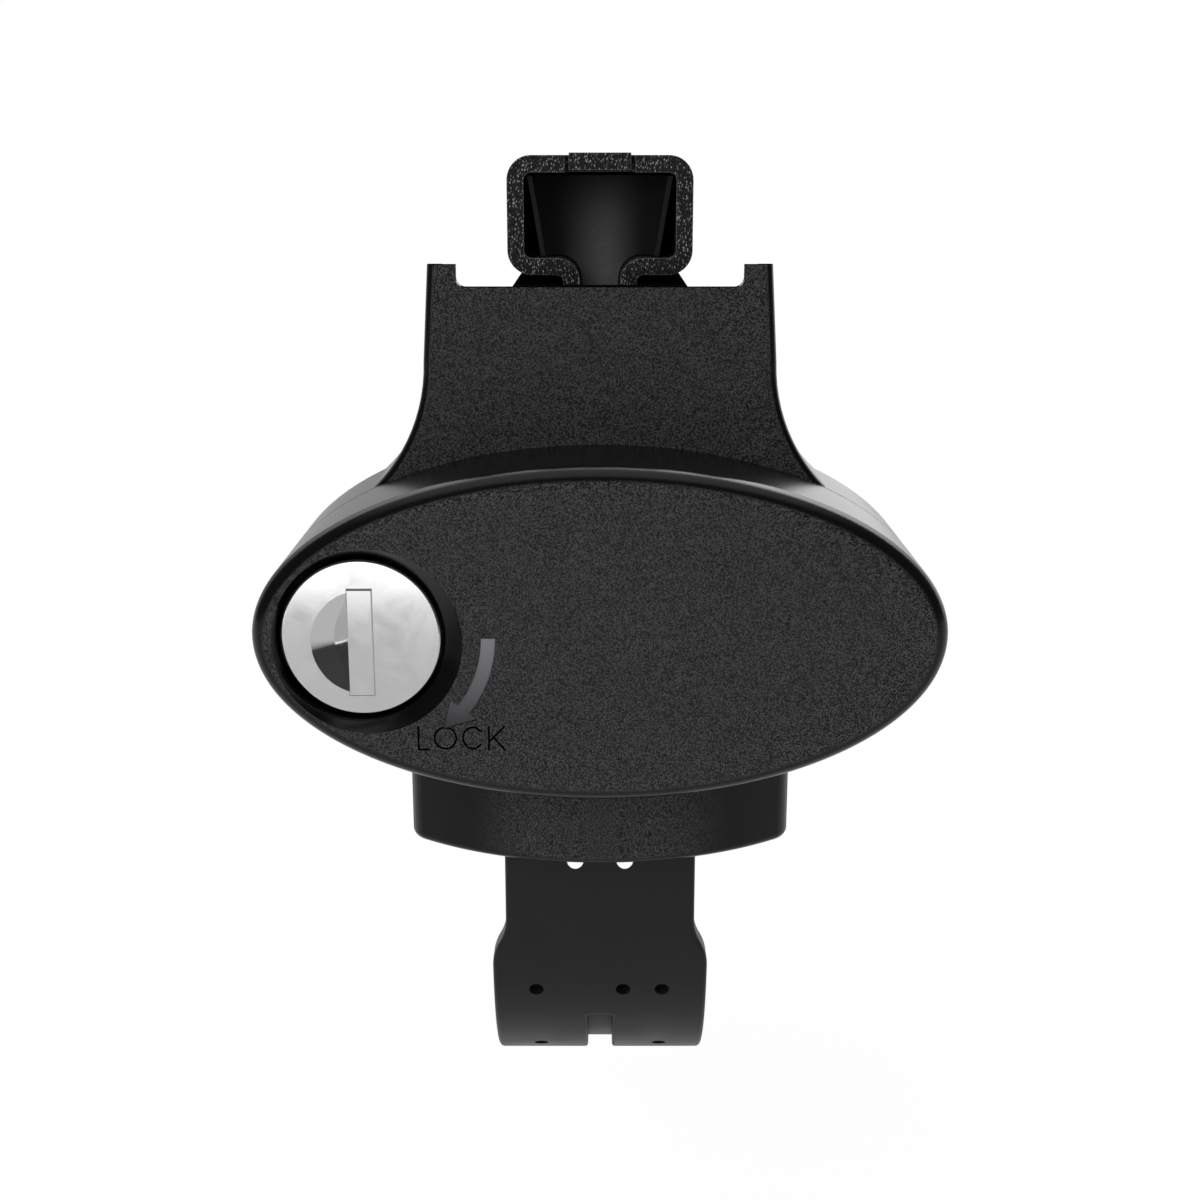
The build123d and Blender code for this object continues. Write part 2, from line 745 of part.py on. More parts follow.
def pocket_mouth():
    """Tapered mouth of the knob's pocket, wider towards the middle of the cover."""
    reach = 1 + cut_overrun / knob_depth
    front_y = knob_face_y - reach * knob_depth
    front_radius = pocket_radius + reach * (pocket_mouth_radius - pocket_radius)
    front_x = knob_x + reach * pocket_mouth_shift
    facing = (0, -1, 0)
    front = Plane(origin=(front_x, front_y, knob_z), x_dir=(1, 0, 0), z_dir=facing) * Circle(front_radius)
    back = Plane(origin=(knob_x, knob_face_y, knob_z), x_dir=(1, 0, 0), z_dir=facing) * Circle(pocket_radius)
    return loft([front, back])


def make_latch_knob():
    """Turned and milled knob: disc, raised grip with a finger scoop beside it, shaft and square tang."""
    knob = rod_along_y(knob_x, knob_z, knob_radius, knob_face_y, knob_back_y)
    knob = fillet(knob.edges().group_by(Axis.Y)[0], knob_edge)
    grip_z = knob_z - grip_drop
    overrun = 1 + cut_overrun / scoop_depth
    cone = Cone(scoop_radius * overrun, 0, scoop_depth * overrun, rotation=(-90, 0, 0))
    cone = Pos(knob_x + scoop_shift, knob_face_y + scoop_depth - scoop_depth * overrun / 2, grip_z) * cone
    left_half = block(
        (knob_x - knob_radius, knob_x - grip_width / 2),
        (knob_face_y - cut_overrun, knob_back_y),
        (knob_z - knob_radius, knob_z + knob_radius),
    )
    knob -= cone & left_half
    rims = knob.edges().filter_by(GeomType.CIRCLE)
    knob = fillet([e for e in rims if abs(e.radius - scoop_radius) < tolerance], scoop_lip)
    grip_y = (knob_face_y - grip_rise, knob_face_y + knob_edge)
    grip_x = (knob_x - grip_width / 2, knob_x + grip_width / 2)
    grip = block(grip_x, grip_y, (grip_z - grip_length / 2, grip_z + grip_length / 2))
    knob += fillet(grip.edges().group_by(Axis.Y)[0], grip_edge)
    knob += rod_along_y(knob_x, knob_z, shaft_radius, knob_back_y, cam_front_y)
    knob -= rod_along_y(knob_x, knob_z, shaft_radius, washer_back_y, clip_back_y)
    knob += rod_along_y(knob_x, knob_z, shaft_radius - clip_groove, washer_back_y, clip_back_y)
    knob += across(Pos(knob_x, knob_z) * Rectangle(tang_size, tang_size), cam_front_y, cam_back_y)
    tap_radius = cam_screw_radius + screw_clearance
    return knob - rod_along_y(knob_x, knob_z, tap_radius, cam_back_y - cam_screw_depth, cam_back_y)


def make_latch_seal():
    """Flat sealing ring behind the knob."""
    ring = Circle(seal_outer_radius) - Circle(seal_inner_radius)
    return across(Pos(knob_x, knob_z) * ring, knob_back_y, pocket_floor_y)


def make_latch_bush():
    """Flanged plain bush in the cover's hub."""
    bore = Circle(shaft_radius + shaft_clearance)
    body = across(Pos(knob_x, knob_z) * (Circle(bush_radius) - bore), pocket_floor_y, hub_back_y)
    flange = Circle(bush_flange_radius) - bore
    return body + across(Pos(knob_x, knob_z) * flange, hub_back_y, hub_back_y + bush_flange_thickness)


def make_latch_washer():
    """Washer between the bush and the clip."""
    ring = Circle(latch_washer_radius) - Circle(shaft_radius + shaft_clearance)
    return across(Pos(knob_x, knob_z) * ring, washer_front_y, washer_back_y)


def make_latch_clip():
    """Open retaining clip in the groove of the knob's shaft."""
    mouth = math.radians(clip_mouth_deg / 2)
    wedge = polygon(
        (0, 0),
        (2 * clip_radius * math.sin(mouth), -2 * clip_radius * math.cos(mouth)),
        (-2 * clip_radius * math.sin(mouth), -2 * clip_radius * math.cos(mouth)),
    )
    ring = Circle(clip_radius) - Circle(shaft_radius - clip_groove + screw_clearance) - wedge
    return across(Pos(knob_x, knob_z) * ring, washer_back_y, clip_back_y)


def make_latch_cam():
    """Steel tongue on the knob's tang, upright when the cover is free."""
    hole = tang_size + 2 * tang_clearance
    arm_middle = (cam_reach - cam_width / 2) / 2
    outline = Circle(cam_hub_radius) + Pos(0, arm_middle) * Rectangle(cam_width, 2 * arm_middle)
    outline += Pos(0, 2 * arm_middle) * Circle(cam_width / 2)
    outline -= Rectangle(hole, hole)
    return across(Pos(knob_x, knob_z) * outline, cam_front_y, cam_back_y)


def make_cam_screw():
    """Screw that holds the cam on the tang."""
    head = rod_along_y(knob_x, knob_z, cam_screw_head_radius, cam_back_y, cam_back_y + cam_screw_head_height)
    head = fillet(head.edges().group_by(Axis.Y)[-1], cam_screw_head_height / 3)
    socket = Pos(knob_x, knob_z) * RegularPolygon(cam_screw_radius, 6)
    back = cam_back_y + cam_screw_head_height
    head -= across(socket, back - cam_screw_head_height / 2, back)
    return head + rod_along_y(knob_x, knob_z, cam_screw_radius, cam_back_y - cam_screw_depth, cam_back_y)


def head_section():
    """Section of the bar head: a box channel whose floor turns down into two lips."""
    outer = Pos(0, head_mid_z) * RectangleRounded(head_width, head_height, head_outer_radius)
    inner_size = (head_width - 2 * head_wall, head_height - 2 * head_wall)
    section = outer - Pos(0, head_mid_z) * RectangleRounded(*inner_size, head_inner_radius)
    section -= Pos(0, head_bottom_z + head_wall / 2) * Rectangle(2 * lip_bend_x, head_wall)
    bend = Circle(lip_bend_radius + head_wall) - Circle(lip_bend_radius)
    reach = lip_bend_radius + head_wall
    bend &= Pos(-reach / 2, reach / 2) * Rectangle(reach, reach)
    bend = Pos(lip_bend_x, lip_bend_z) * bend
    lip_length = lip_bend_z - lip_bottom_z
    lip = Pos(lip_inner + head_wall / 2, lip_bottom_z + lip_length / 2) * Rectangle(head_wall, lip_length)
    side = bend + lip
    return section + side + mirror(side, about=Plane.YZ)


def hanger_pin_places():
    """Depths of the two cross pins."""
    return (hanger_front_y + hanger_pin_margin, hanger_rear_y - hanger_pin_margin)


def cross_pin(y, radius, half):
    """Round bar along the rail through the hanger and the lips."""
    return sideways(Pos(y, hanger_pin_z) * Circle(radius), -half, half)


def make_bar_head():
    """Folded steel channel with a raised tab on its roof and two lips below."""
    head = across(head_section(), head_front_y, head_rear_y)
    tab_y = (head_front_y, head_front_y + tab_length)
    tab_z = (head_top_z - head_wall, head_top_z)
    slit_x = (tab_width / 2, tab_width / 2 + tab_slit)
    head -= both_sides(block(slit_x, tab_y, tab_z))
    head += block((-tab_width / 2, tab_width / 2), tab_y, (head_top_z - tab_rise, head_top_z + tab_rise))
    low = head_top_z - head_wall
    head -= block((-tab_width / 2, tab_width / 2), tab_y, (low, low + tab_rise))
    for y in hanger_pin_places():
        head -= cross_pin(y, hanger_pin_radius + pin_clearance, hanger_outer)
    return head


def make_head_core():
    """Half funnel in the bar head, open in front, cored out under the roof, with a keel between the lips."""
    front_y = head_front_y + core_setback
    back_y = head_rear_y + core_clearance
    corner_room = core_clearance + head_inner_radius * (1 - math.sqrt(0.5))
    roof_z = head_top_z - head_wall - corner_room
    roof_half = head_width / 2 - head_wall - corner_room
    foot_z = head_bottom_z + head_wall + core_clearance
    foot_half = core_foot_width / 2
    section = polygon((-foot_half, foot_z), (foot_half, foot_z), (roof_half, roof_z), (-roof_half, roof_z))
    keel_half = lip_inner - core_clearance
    keel_height = foot_z - core_keel_bottom_z
    section += Pos(0, core_keel_bottom_z + keel_height / 2) * Rectangle(2 * keel_half, keel_height)
    level = [v for v in section.vertices() if abs(v.Y - foot_z) < tolerance]
    bends = [v for v in level if abs(v.X) < foot_half - tolerance]
    section = fillet(bends, lip_bend_radius + head_wall + core_clearance)
    core = across(section, front_y, back_y)
    slant = (roof_half - foot_half) / (roof_z - foot_z)
    low_z = core_keel_bottom_z - cut_overrun
    high_z = roof_z + cut_overrun
    low_radius = foot_half - core_rim + slant * (low_z - foot_z)
    high_radius = foot_half - core_rim + slant * (high_z - foot_z)
    core -= Pos(0, front_y, (low_z + high_z) / 2) * Cone(low_radius, high_radius, high_z - low_z)
    hollow_half = foot_half - core_wall
    hollow_y = (front_y + high_radius + core_wall, back_y - core_wall)
    core -= block((-hollow_half, hollow_half), hollow_y, (foot_z + core_wall, roof_z))
    nose_width = head_width - 2 * core_nose_margin
    nose_height = head_height - 2 * core_nose_margin
    nose = Pos(0, head_mid_z) * RectangleRounded(nose_width, nose_height, head_outer_radius)
    back_plane = Plane(origin=(0, back_y, 0), x_dir=(-1, 0, 0), z_dir=(0, 1, 0))
    return core + extrude(back_plane * nose, core_nose_length, taper=core_taper_deg)


def make_hanger():
    """Folded stirrup below the bar head, notched at the front for the tension wheel."""
    outline = Pos(0, (hanger_top_z + hanger_bottom_z) / 2) * Rectangle(
        2 * hanger_outer, hanger_top_z - hanger_bottom_z
    )
    hollow_low = hanger_bottom_z + hanger_thickness
    outline -= Pos(0, (hanger_top_z + hollow_low) / 2) * Rectangle(2 * lip_outer, hanger_top_z - hollow_low)
    hanger = across(outline, hanger_front_y, hanger_rear_y)
    bottom_edges = hanger.edges().group_by(Axis.Z)[0].filter_by(Axis.Y)
    hanger = fillet(bottom_edges, hanger_thickness)
    chord = math.sqrt(wheel_radius**2 - lip_outer**2)
    notch_y = (hanger_front_y, screw_y + chord + wheel_side_room)
    notch_z = (hanger_seat_z, wheel_top_z + wheel_top_room)
    hanger -= block((-hanger_outer, hanger_outer), notch_y, notch_z)
    hole = Pos(0, screw_y) * Circle(bolt_radius + pin_clearance + screw_clearance)
    hanger -= upright(hole, hanger_bottom_z, hollow_low)
    for y in hanger_pin_places():
        hanger -= cross_pin(y, hanger_pin_radius + pin_clearance, hanger_outer)
    return hanger


def make_hanger_pins():
    """Cross pins that hang the stirrup on the lips."""
    half = hanger_outer + hanger_pin_overhang
    return [cross_pin(y, hanger_pin_radius, half) for y in hanger_pin_places()]


def make_thrust_washer():
    """Washer that carries the tension wheel on the stirrup."""
    ring = Pos(0, screw_y) * (Circle(washer_radius) - Circle(bolt_radius + pin_clearance + screw_clearance))
    return upright(ring, hanger_seat_z, hanger_seat_z + washer_thickness)


def make_tension_wheel():
    """Scalloped nut with holes for a tommy bar."""
    plan = Pos(0, screw_y) * (Circle(wheel_radius) - Circle(bolt_radius + bolt_clearance))
    wheel = upright(plan, wheel_bottom_z, wheel_top_z)
    rims = wheel.edges().filter_by(lambda e: e.length > 2 * math.pi * (wheel_radius - wheel_chamfer))
    wheel = chamfer(rims, wheel_chamfer)
    for index in range(wheel_notch_count):
        turn = math.radians(360 / wheel_notch_count * (index + 0.5))
        reach = wheel_radius + wheel_notch_radius / 2
        place = Pos(reach * math.cos(turn), screw_y + reach * math.sin(turn))
        wheel -= upright(place * Circle(wheel_notch_radius), wheel_bottom_z, wheel_top_z)
    for index in range(wheel_tommy_count):
        angle = 360 / wheel_tommy_count * (index + 0.5)
        hole = Cylinder(wheel_tommy_radius, wheel_tommy_depth, rotation=(0, 90, 0))
        hole = Pos(wheel_radius - wheel_tommy_depth / 2, 0, 0) * hole
        wheel -= Pos(0, screw_y, wheel_mid_z) * Rot(0, 0, angle) * hole
    return wheel


def hook_path_face(inner_radius, outer_radius, top_z, sweep_deg):
    """Side outline of a hook: an upright leg that turns round the rail."""
    turn = math.radians(sweep_deg)

    def at(radius, angle):
        return (-radius * math.cos(angle), hook_centre_z - radius * math.sin(angle))

    edges = [Line((-outer_radius, top_z), (-outer_radius, hook_centre_z))]
    edges += [ThreePointArc(at(outer_radius, 0), at(outer_radius, turn / 2), at(outer_radius, turn))]
    edges += [Line(at(outer_radius, turn), at(inner_radius, turn))]
    edges += [ThreePointArc(at(inner_radius, turn), at(inner_radius, turn / 2), at(inner_radius, 0))]
    edges += [Line((-inner_radius, hook_centre_z), (-inner_radius, top_z))]
    edges += [Line((-inner_radius, top_z), (-outer_radius, top_z))]
    return make_face(edges)


def hook_front(inset, top_z):
    """Front outline of the hook, which widens at its shoulder."""
    leg = hook_leg_width / 2 - inset
    wide = hook_wide_width / 2 - inset
    low = hook_centre_z - hook_outer_radius - cut_overrun
    shoulder_low = hook_shoulder_top_z - hook_shoulder_height
    edges = [Line((0, low), (0, top_z)), Line((0, top_z), (leg, top_z))]
    edges += [Line((leg, top_z), (leg, hook_shoulder_top_z))]
    edges += s_curve((leg, hook_shoulder_top_z), (wide, shoulder_low))
    edges += [Line((wide, shoulder_low), (wide, low)), Line((wide, low), (0, low))]
    half = make_face(edges)
    return half + mirror(half, about=Plane.YZ)


def leg_holes(radius):
    """The two drain holes through the leg, which fall towards the rear."""
    fall = math.radians(leg_hole_fall_deg)
    length = hook_thickness / math.cos(fall) + 4 * radius
    middle_y = leg_front_y + hook_thickness / 2
    middle_z = leg_hole_z - hook_thickness / 2 * math.tan(fall)
    drill = Cylinder(radius, length, rotation=(90 - leg_hole_fall_deg, 0, 0))
    return [Pos(side * leg_hole_spacing / 2, middle_y, middle_z) * drill for side in (-1, 1)]


def make_hook_steel():
    """Bent steel strap inside the hook, with a flange at its top for the bolt."""
    reach = hook_outer_radius + cut_overrun
    steel_sweep = hook_sweep_deg - math.degrees(hook_tip_rubber / hook_outer_radius)
    profile = hook_path_face(steel_inner_radius, steel_outer_radius, hook_flange_top_z, steel_sweep)
    strap = sideways(profile, -reach, reach)
    strap &= across(hook_front(hook_side_rubber, hook_flange_top_z), -reach, reach)
    top_half = hook_top_steel_width / 2
    shoulder = block((top_half, reach), (-reach, 0), (floor_top_z / 2, hook_flange_top_z))
    strap -= both_sides(shoulder)
    flange_y = (-steel_outer_radius, screw_y + hook_flange_past_bolt)
    flange_z = (hook_flange_top_z - hook_steel_thickness, hook_flange_top_z)
    flange = block((-hook_flange_width / 2, hook_flange_width / 2), flange_y, flange_z)
    flange_corner = flange.edges().filter_by(Axis.Z).group_by(Axis.Y)[-1]
    strap += fillet(flange_corner, hook_bend_radius * 2)
    outer_bend = [e for e in strap.edges().filter_by(Axis.X) if is_outer_bend(e)]
    strap = fillet(outer_bend, hook_bend_radius)
    hole = Pos(0, screw_y) * Circle(bolt_radius + bolt_clearance)
    strap -= upright(hole, *flange_z)
    for hole in leg_holes(leg_hole_radius):
        strap -= hole
    return strap


def is_outer_bend(edge):
    """True for the outer corner where the strap turns into its flange."""
    middle = edge.center()
    return abs(middle.Y + steel_outer_radius) < tolerance and abs(middle.Z - hook_flange_top_z) < tolerance


def pit(x, degrees):
    """Round pit in the rubber, square to the outer face and open down to the steel."""
    turn = math.radians(degrees)
    y = -hook_outer_radius * math.cos(turn)
    z = hook_centre_z - hook_outer_radius * math.sin(turn)
    depth = hook_outer_rubber + cut_overrun
    drill = Cylinder(pit_radius, 2 * depth, rotation=(90 + degrees, 0, 0))
    return Pos(x, y, z) * drill


def groove_cut():
    """Channel along the outer face of the hook, with rounded ends, down to the steel."""
    start, end = math.radians(groove_start_deg), math.radians(groove_end_deg)
    outer = hook_outer_radius + cut_overrun

    def at(radius, angle):
        return (-radius * math.cos(angle), hook_centre_z - radius * math.sin(angle))

    middle = (start + end) / 2
    floor = steel_outer_radius
    edges = [ThreePointArc(at(outer, start), at(outer, middle), at(outer, end))]
    edges += [Line(at(outer, end), at(floor, end))]
    edges += [ThreePointArc(at(floor, end), at(floor, middle), at(floor, start))]
    edges += [Line(at(floor, start), at(outer, start))]
    groove = sideways(make_face(edges), -groove_width / 2, groove_width / 2)
    corners = [e for e in groove.edges() if e.geom_type == GeomType.LINE and not is_along_rail(e)]
    return fillet(corners, groove_width / 4)


def is_along_rail(edge):
    """True for a straight edge that runs along X."""
    return abs((edge @ 1 - edge @ 0).X) > tolerance


def make_hook_rubber(steel):
    """Rubber moulded over the strap, with pits, a groove and the leg's holes."""
    reach = hook_outer_radius + cut_overrun
    profile = hook_path_face(hook_inner_radius, hook_outer_radius, hook_rubber_top_z, hook_sweep_deg)
    rubber = sideways(profile, -reach, reach)
    rubber &= across(hook_front(0, hook_rubber_top_z), -reach, reach)
    tip_corners = [e for e in rubber.edges() if is_tip_corner(e)]
    rubber = fillet(tip_corners, hook_tip_corner)
    long_edges = [e for e in rubber.edges() if is_hook_rim(e)]
    rubber = fillet(long_edges, hook_edge_radius)
    for x in upper_pit_x:
        rubber -= pit(x, upper_pit_deg)
    for x in lower_pit_x:
        rubber -= pit(x, lower_pit_deg)
    rubber -= groove_cut()
    rubber = fillet([e for e in rubber.edges() if is_groove_lip(e)], groove_lip)
    for hole in leg_holes(leg_hole_radius):
        rubber -= hole
    return rubber - steel


def is_groove_lip(edge):
    """True for the edges where the groove opens in the hook's outer face."""
    for share in (0, 0.5, 1):
        point = edge @ share
        radius = math.hypot(point.Y, point.Z - hook_centre_z)
        if abs(radius - hook_outer_radius) > tolerance or abs(point.X) > groove_width / 2 + tolerance:
            return False
    return True


def is_tip_corner(edge):
    """True for the two short edges at the free end of the hook."""
    middle = edge.center()
    short = edge.length < hook_thickness + tolerance
    return short and edge.geom_type == GeomType.LINE and middle.Y > 0 and not is_along_rail(edge)


def is_hook_rim(edge):
    """True for the edges round the outer and inner faces of the rubber, but not its top."""
    middle = edge.center()
    if middle.Z > hook_rubber_top_z - tolerance:
        return False
    box = edge.bounding_box()
    across_thickness = edge.length < hook_thickness + tolerance and edge.geom_type == GeomType.LINE
    leg_side = box.max.Z > hook_rubber_top_z - tolerance and across_thickness
    return not leg_side and not (across_thickness and not is_along_rail(edge))


def make_tension_bolt():
    """Bolt that rises from the hook's flange through the tension wheel."""
    seat = hook_flange_top_z - hook_steel_thickness
    head = Pos(0, screw_y) * RegularPolygon(bolt_head_flats / 2, 6, major_radius=False)
    bolt = upright(head, seat - bolt_head_height, seat)
    shank = upright(Pos(0, screw_y) * Circle(bolt_radius), seat, bolt_top_z)
    shank = chamfer(shank.edges().group_by(Axis.Z)[-1], bolt_radius / 4)
    return bolt + shank


def write(name, shape):
    """Saves one node, which may be a group of like solids."""
    group = Compound(children=list(shape)) if isinstance(shape, list) else shape
    export_step(group, os.path.join("parts", name + ".step"))


def main():
    os.makedirs("parts", exist_ok=True)
    steel = make_hook_steel()
    nodes = {
        "main_housing": make_main_housing(),
        "latch_panel": make_latch_panel(),
        "rear_cover": make_rear_cover(),
        "rear_screws": make_rear_screws(),
        "steel_frame": make_steel_frame(),
        "frame_screws": make_frame_screws(),
        "rail_pad": make_rail_pad(),
        "front_cover": make_front_cover(),
        "latch_knob": make_latch_knob(),
        "latch_seal": make_latch_seal(),
        "latch_bush": make_latch_bush(),
        "latch_washer": make_latch_washer(),
        "latch_clip": make_latch_clip(),
        "latch_cam": make_latch_cam(),
        "cam_screw": make_cam_screw(),
        "bar_head": make_bar_head(),
        "head_core": make_head_core(),
        "hanger": make_hanger(),
        "hanger_pins": make_hanger_pins(),
        "thrust_washer": make_thrust_washer(),
        "tension_wheel": make_tension_wheel(),
        "hook_steel": steel,
        "hook_rubber": make_hook_rubber(steel),
        "tension_bolt": make_tension_bolt(),
    }
    for name, shape in nodes.items():
        write(name, shape)


if __name__ == "__main__":
    main()
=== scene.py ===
"""Looks for the roof bar foot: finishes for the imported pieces, the arrow's paint and the studio."""

import math

import bmesh
import bpy
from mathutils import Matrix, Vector


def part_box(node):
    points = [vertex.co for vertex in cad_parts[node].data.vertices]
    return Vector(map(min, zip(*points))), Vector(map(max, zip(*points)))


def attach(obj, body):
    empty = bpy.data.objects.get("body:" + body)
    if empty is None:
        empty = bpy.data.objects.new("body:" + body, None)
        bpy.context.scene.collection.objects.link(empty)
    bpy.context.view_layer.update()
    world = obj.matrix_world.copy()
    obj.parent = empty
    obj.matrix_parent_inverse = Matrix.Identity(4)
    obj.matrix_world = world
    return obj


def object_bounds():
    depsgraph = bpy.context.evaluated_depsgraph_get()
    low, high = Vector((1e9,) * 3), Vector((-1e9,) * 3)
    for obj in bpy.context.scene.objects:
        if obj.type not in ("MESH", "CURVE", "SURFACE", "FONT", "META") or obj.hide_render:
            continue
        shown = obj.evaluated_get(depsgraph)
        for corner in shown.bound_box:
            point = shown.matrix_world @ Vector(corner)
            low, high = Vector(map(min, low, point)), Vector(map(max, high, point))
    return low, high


bl_info = {
    "name": "Roof bar foot",
    "version": (1, 0, 0),
    "blender": (4, 5, 0),
    "location": "3D View > Sidebar > Roof foot",
    "description": "Dresses the packed roof bar foot and sets up its studio",
    "category": "Object",
}

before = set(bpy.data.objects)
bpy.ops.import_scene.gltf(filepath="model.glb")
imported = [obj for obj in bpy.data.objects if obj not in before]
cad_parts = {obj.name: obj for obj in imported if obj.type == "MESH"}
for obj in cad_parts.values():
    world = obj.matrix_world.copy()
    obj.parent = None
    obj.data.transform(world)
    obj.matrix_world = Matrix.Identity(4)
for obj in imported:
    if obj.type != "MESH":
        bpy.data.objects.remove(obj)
CAD_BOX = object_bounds()
MM = 0.001

# How square a face has to be, as a cosine, from where a finish starts to where it is full
GRAIN_SQUARE = (0.90, 0.985)
SCUFF_SQUARE = (0.6, 0.9)
LETTER_SHADE_SQUARE = (0.995, 0.999)

# How far the housing's scuffs fade in, and how far to each side the core's painted sheen reaches
SCUFF_FADE = 2 * MM
CORE_SHEEN_HALF = 10 * MM

# Depth of the letters' floors behind the cover's face, where shade is painted black
LETTER_SHADE_NEAR = (0.08 * MM, 0.14 * MM)
LETTER_SHADE_FAR = (0.7 * MM, 0.9 * MM)

# Places on the studio floor, in metres from its middle
FLOOR_HALF = 3.0
SHADOW_REACH = (0.10, 0.30)
PAPER_TURN_Y = (-0.10, 0.05)
STRIP_NEAR_Y = (-1.02, -1.14)
STRIP_FAR_Y = (-1.24, -1.40)
SHADE_Y = (-0.30, -1.30)
STRIP_END_X = (0.1, 0.3)

# Directions in the mirrored room, as parts of a unit vector
WALL_SIDE_X = (-0.2, 0.2)
WALL_START_Y = (0.25, 0.50)
WALL_RISE_Z = (0.35, 0.75)
WALL_TOP_GAIN = 4.2
CEILING_Z = (0.75, 0.90)


def linear(hex_colour):
    """Linear RGBA of an sRGB hex colour."""
    values = [int(hex_colour[i : i + 2], 16) / 255 for i in (1, 3, 5)]
    return (*(v / 12.92 if v <= 0.04045 else ((v + 0.055) / 1.055) ** 2.4 for v in values), 1.0)


def per_metre(millimetres):
    """Texture scale that gives a pattern this size on a surface measured in metres."""
    return 1 / (millimetres * MM)


def add_node(tree, kind, inputs=None, **settings):
    """Adds a node, sets its properties, and sets or links its inputs."""
    made = tree.nodes.new(kind)
    for name, value in settings.items():
        setattr(made, name, value)
    for name, value in (inputs or {}).items():
        if isinstance(value, bpy.types.NodeSocket):
            tree.links.new(value, made.inputs[name])
        else:
            made.inputs[name].default_value = value
    return made


class FootFinishes(bpy.types.PropertyGroup):
    """Colours and grain of the foot's materials."""

    nylon_dark: bpy.props.FloatVectorProperty(
        name="Nylon, dark", description="Hollows of the moulded grain", subtype="COLOR", size=4,
        min=0, max=1, default=linear("#080809"),
    )
    nylon_light: bpy.props.FloatVectorProperty(
        name="Nylon, light", description="Peaks of the moulded grain", subtype="COLOR", size=4,
        min=0, max=1, default=linear("#383839"),
    )
    nylon_smooth: bpy.props.FloatVectorProperty(
        name="Nylon, smooth", description="Rounded edges, which leave the tool without grain",
        subtype="COLOR", size=4, min=0, max=1, default=linear("#070708"),
    )
    nylon_polish: bpy.props.FloatProperty(
        name="Nylon polish", description="Roughness of the rounded edges", min=0, max=1, default=0.22,
    )
    nylon_grain: bpy.props.FloatProperty(
        name="Nylon grain", description="Width of one grain of the moulded skin, in millimetres",
        min=0.1, max=5, default=0.32,
    )
    scuff_height: bpy.props.FloatProperty(
        name="Scuff height", description="Level faces above this height are dulled by the load bar",
        unit="LENGTH", default=102 * MM,
    )
    coat_dark: bpy.props.FloatVectorProperty(
        name="Powder coat", description="Black coat of the folded steel", subtype="COLOR", size=4,
        min=0, max=1, default=linear("#111112"),
    )
    # Painted highlights: glints on the coat's cells and a highlight along the sheet's edges, painted into
    # the colour.
    painted_coat_glint: bpy.props.FloatVectorProperty(
        name="Coat glints", description="Peaks and worn edges of the powder coat", subtype="COLOR", size=4,
        min=0, max=1, default=linear("#8A8A8C"),
    )
    coat_grain: bpy.props.FloatProperty(
        name="Coat grain", description="Width of one leathery cell of the powder coat, in millimetres",
        min=0.1, max=5, default=0.36,
    )
    knob_metal: bpy.props.FloatVectorProperty(
        name="Knob metal", description="Satin metal of the latch knob", subtype="COLOR", size=4,
        min=0, max=1, default=linear("#EFEFF0"),
    )
    core_black: bpy.props.FloatVectorProperty(
        name="Core", description="Moulded core of the bar head", subtype="COLOR", size=4,
        min=0, max=1, default=linear("#121213"),
    )
    # Painted highlight: the paler colour low in the middle of the core, where its concave scoop catches the
    # light.
    core_painted_sheen: bpy.props.FloatVectorProperty(
        name="Core, scuffed", description="Core of the bar head where bars rub it", subtype="COLOR", size=4,
        min=0, max=1, default=linear("#525254"),
    )
    rubber_black: bpy.props.FloatVectorProperty(
        name="Rubber", description="Moulded rubber of the hook and the pad", subtype="COLOR", size=4,
        min=0, max=1, default=linear("#161617"),
    )
    # The grey is the print. Its change from a light tail to a dark tip is a painted reflection.
    arrow_lit_tail: bpy.props.FloatVectorProperty(
        name="Arrow, tail", description="Paint at the top of the arrow", subtype="COLOR", size=4,
        min=0, max=1, default=linear("#66666A"),
    )
    arrow_shaded_tip: bpy.props.FloatVectorProperty(
        name="Arrow, tip", description="Paint at the arrow's point", subtype="COLOR", size=4,
        min=0, max=1, default=linear("#242426"),
    )
    # Painted shade: the black put on the engraved letters' floors, where shade falls in the recess.
    painted_letter_shade: bpy.props.FloatVectorProperty(
        name="Letter ink", description="Ink on the floors of the engraved letters", subtype="COLOR", size=4,
        min=0, max=1, default=linear("#020202"),
    )
    zinc: bpy.props.FloatVectorProperty(
        name="Zinc plating", description="Plated steel inside the foot", subtype="COLOR", size=4,
        min=0, max=1, default=linear("#C2C3C0"),
    )
    brass: bpy.props.FloatVectorProperty(
        name="Brass", description="Turned brass of the latch bush", subtype="COLOR", size=4,
        min=0, max=1, default=linear("#C9A25A"),
    )


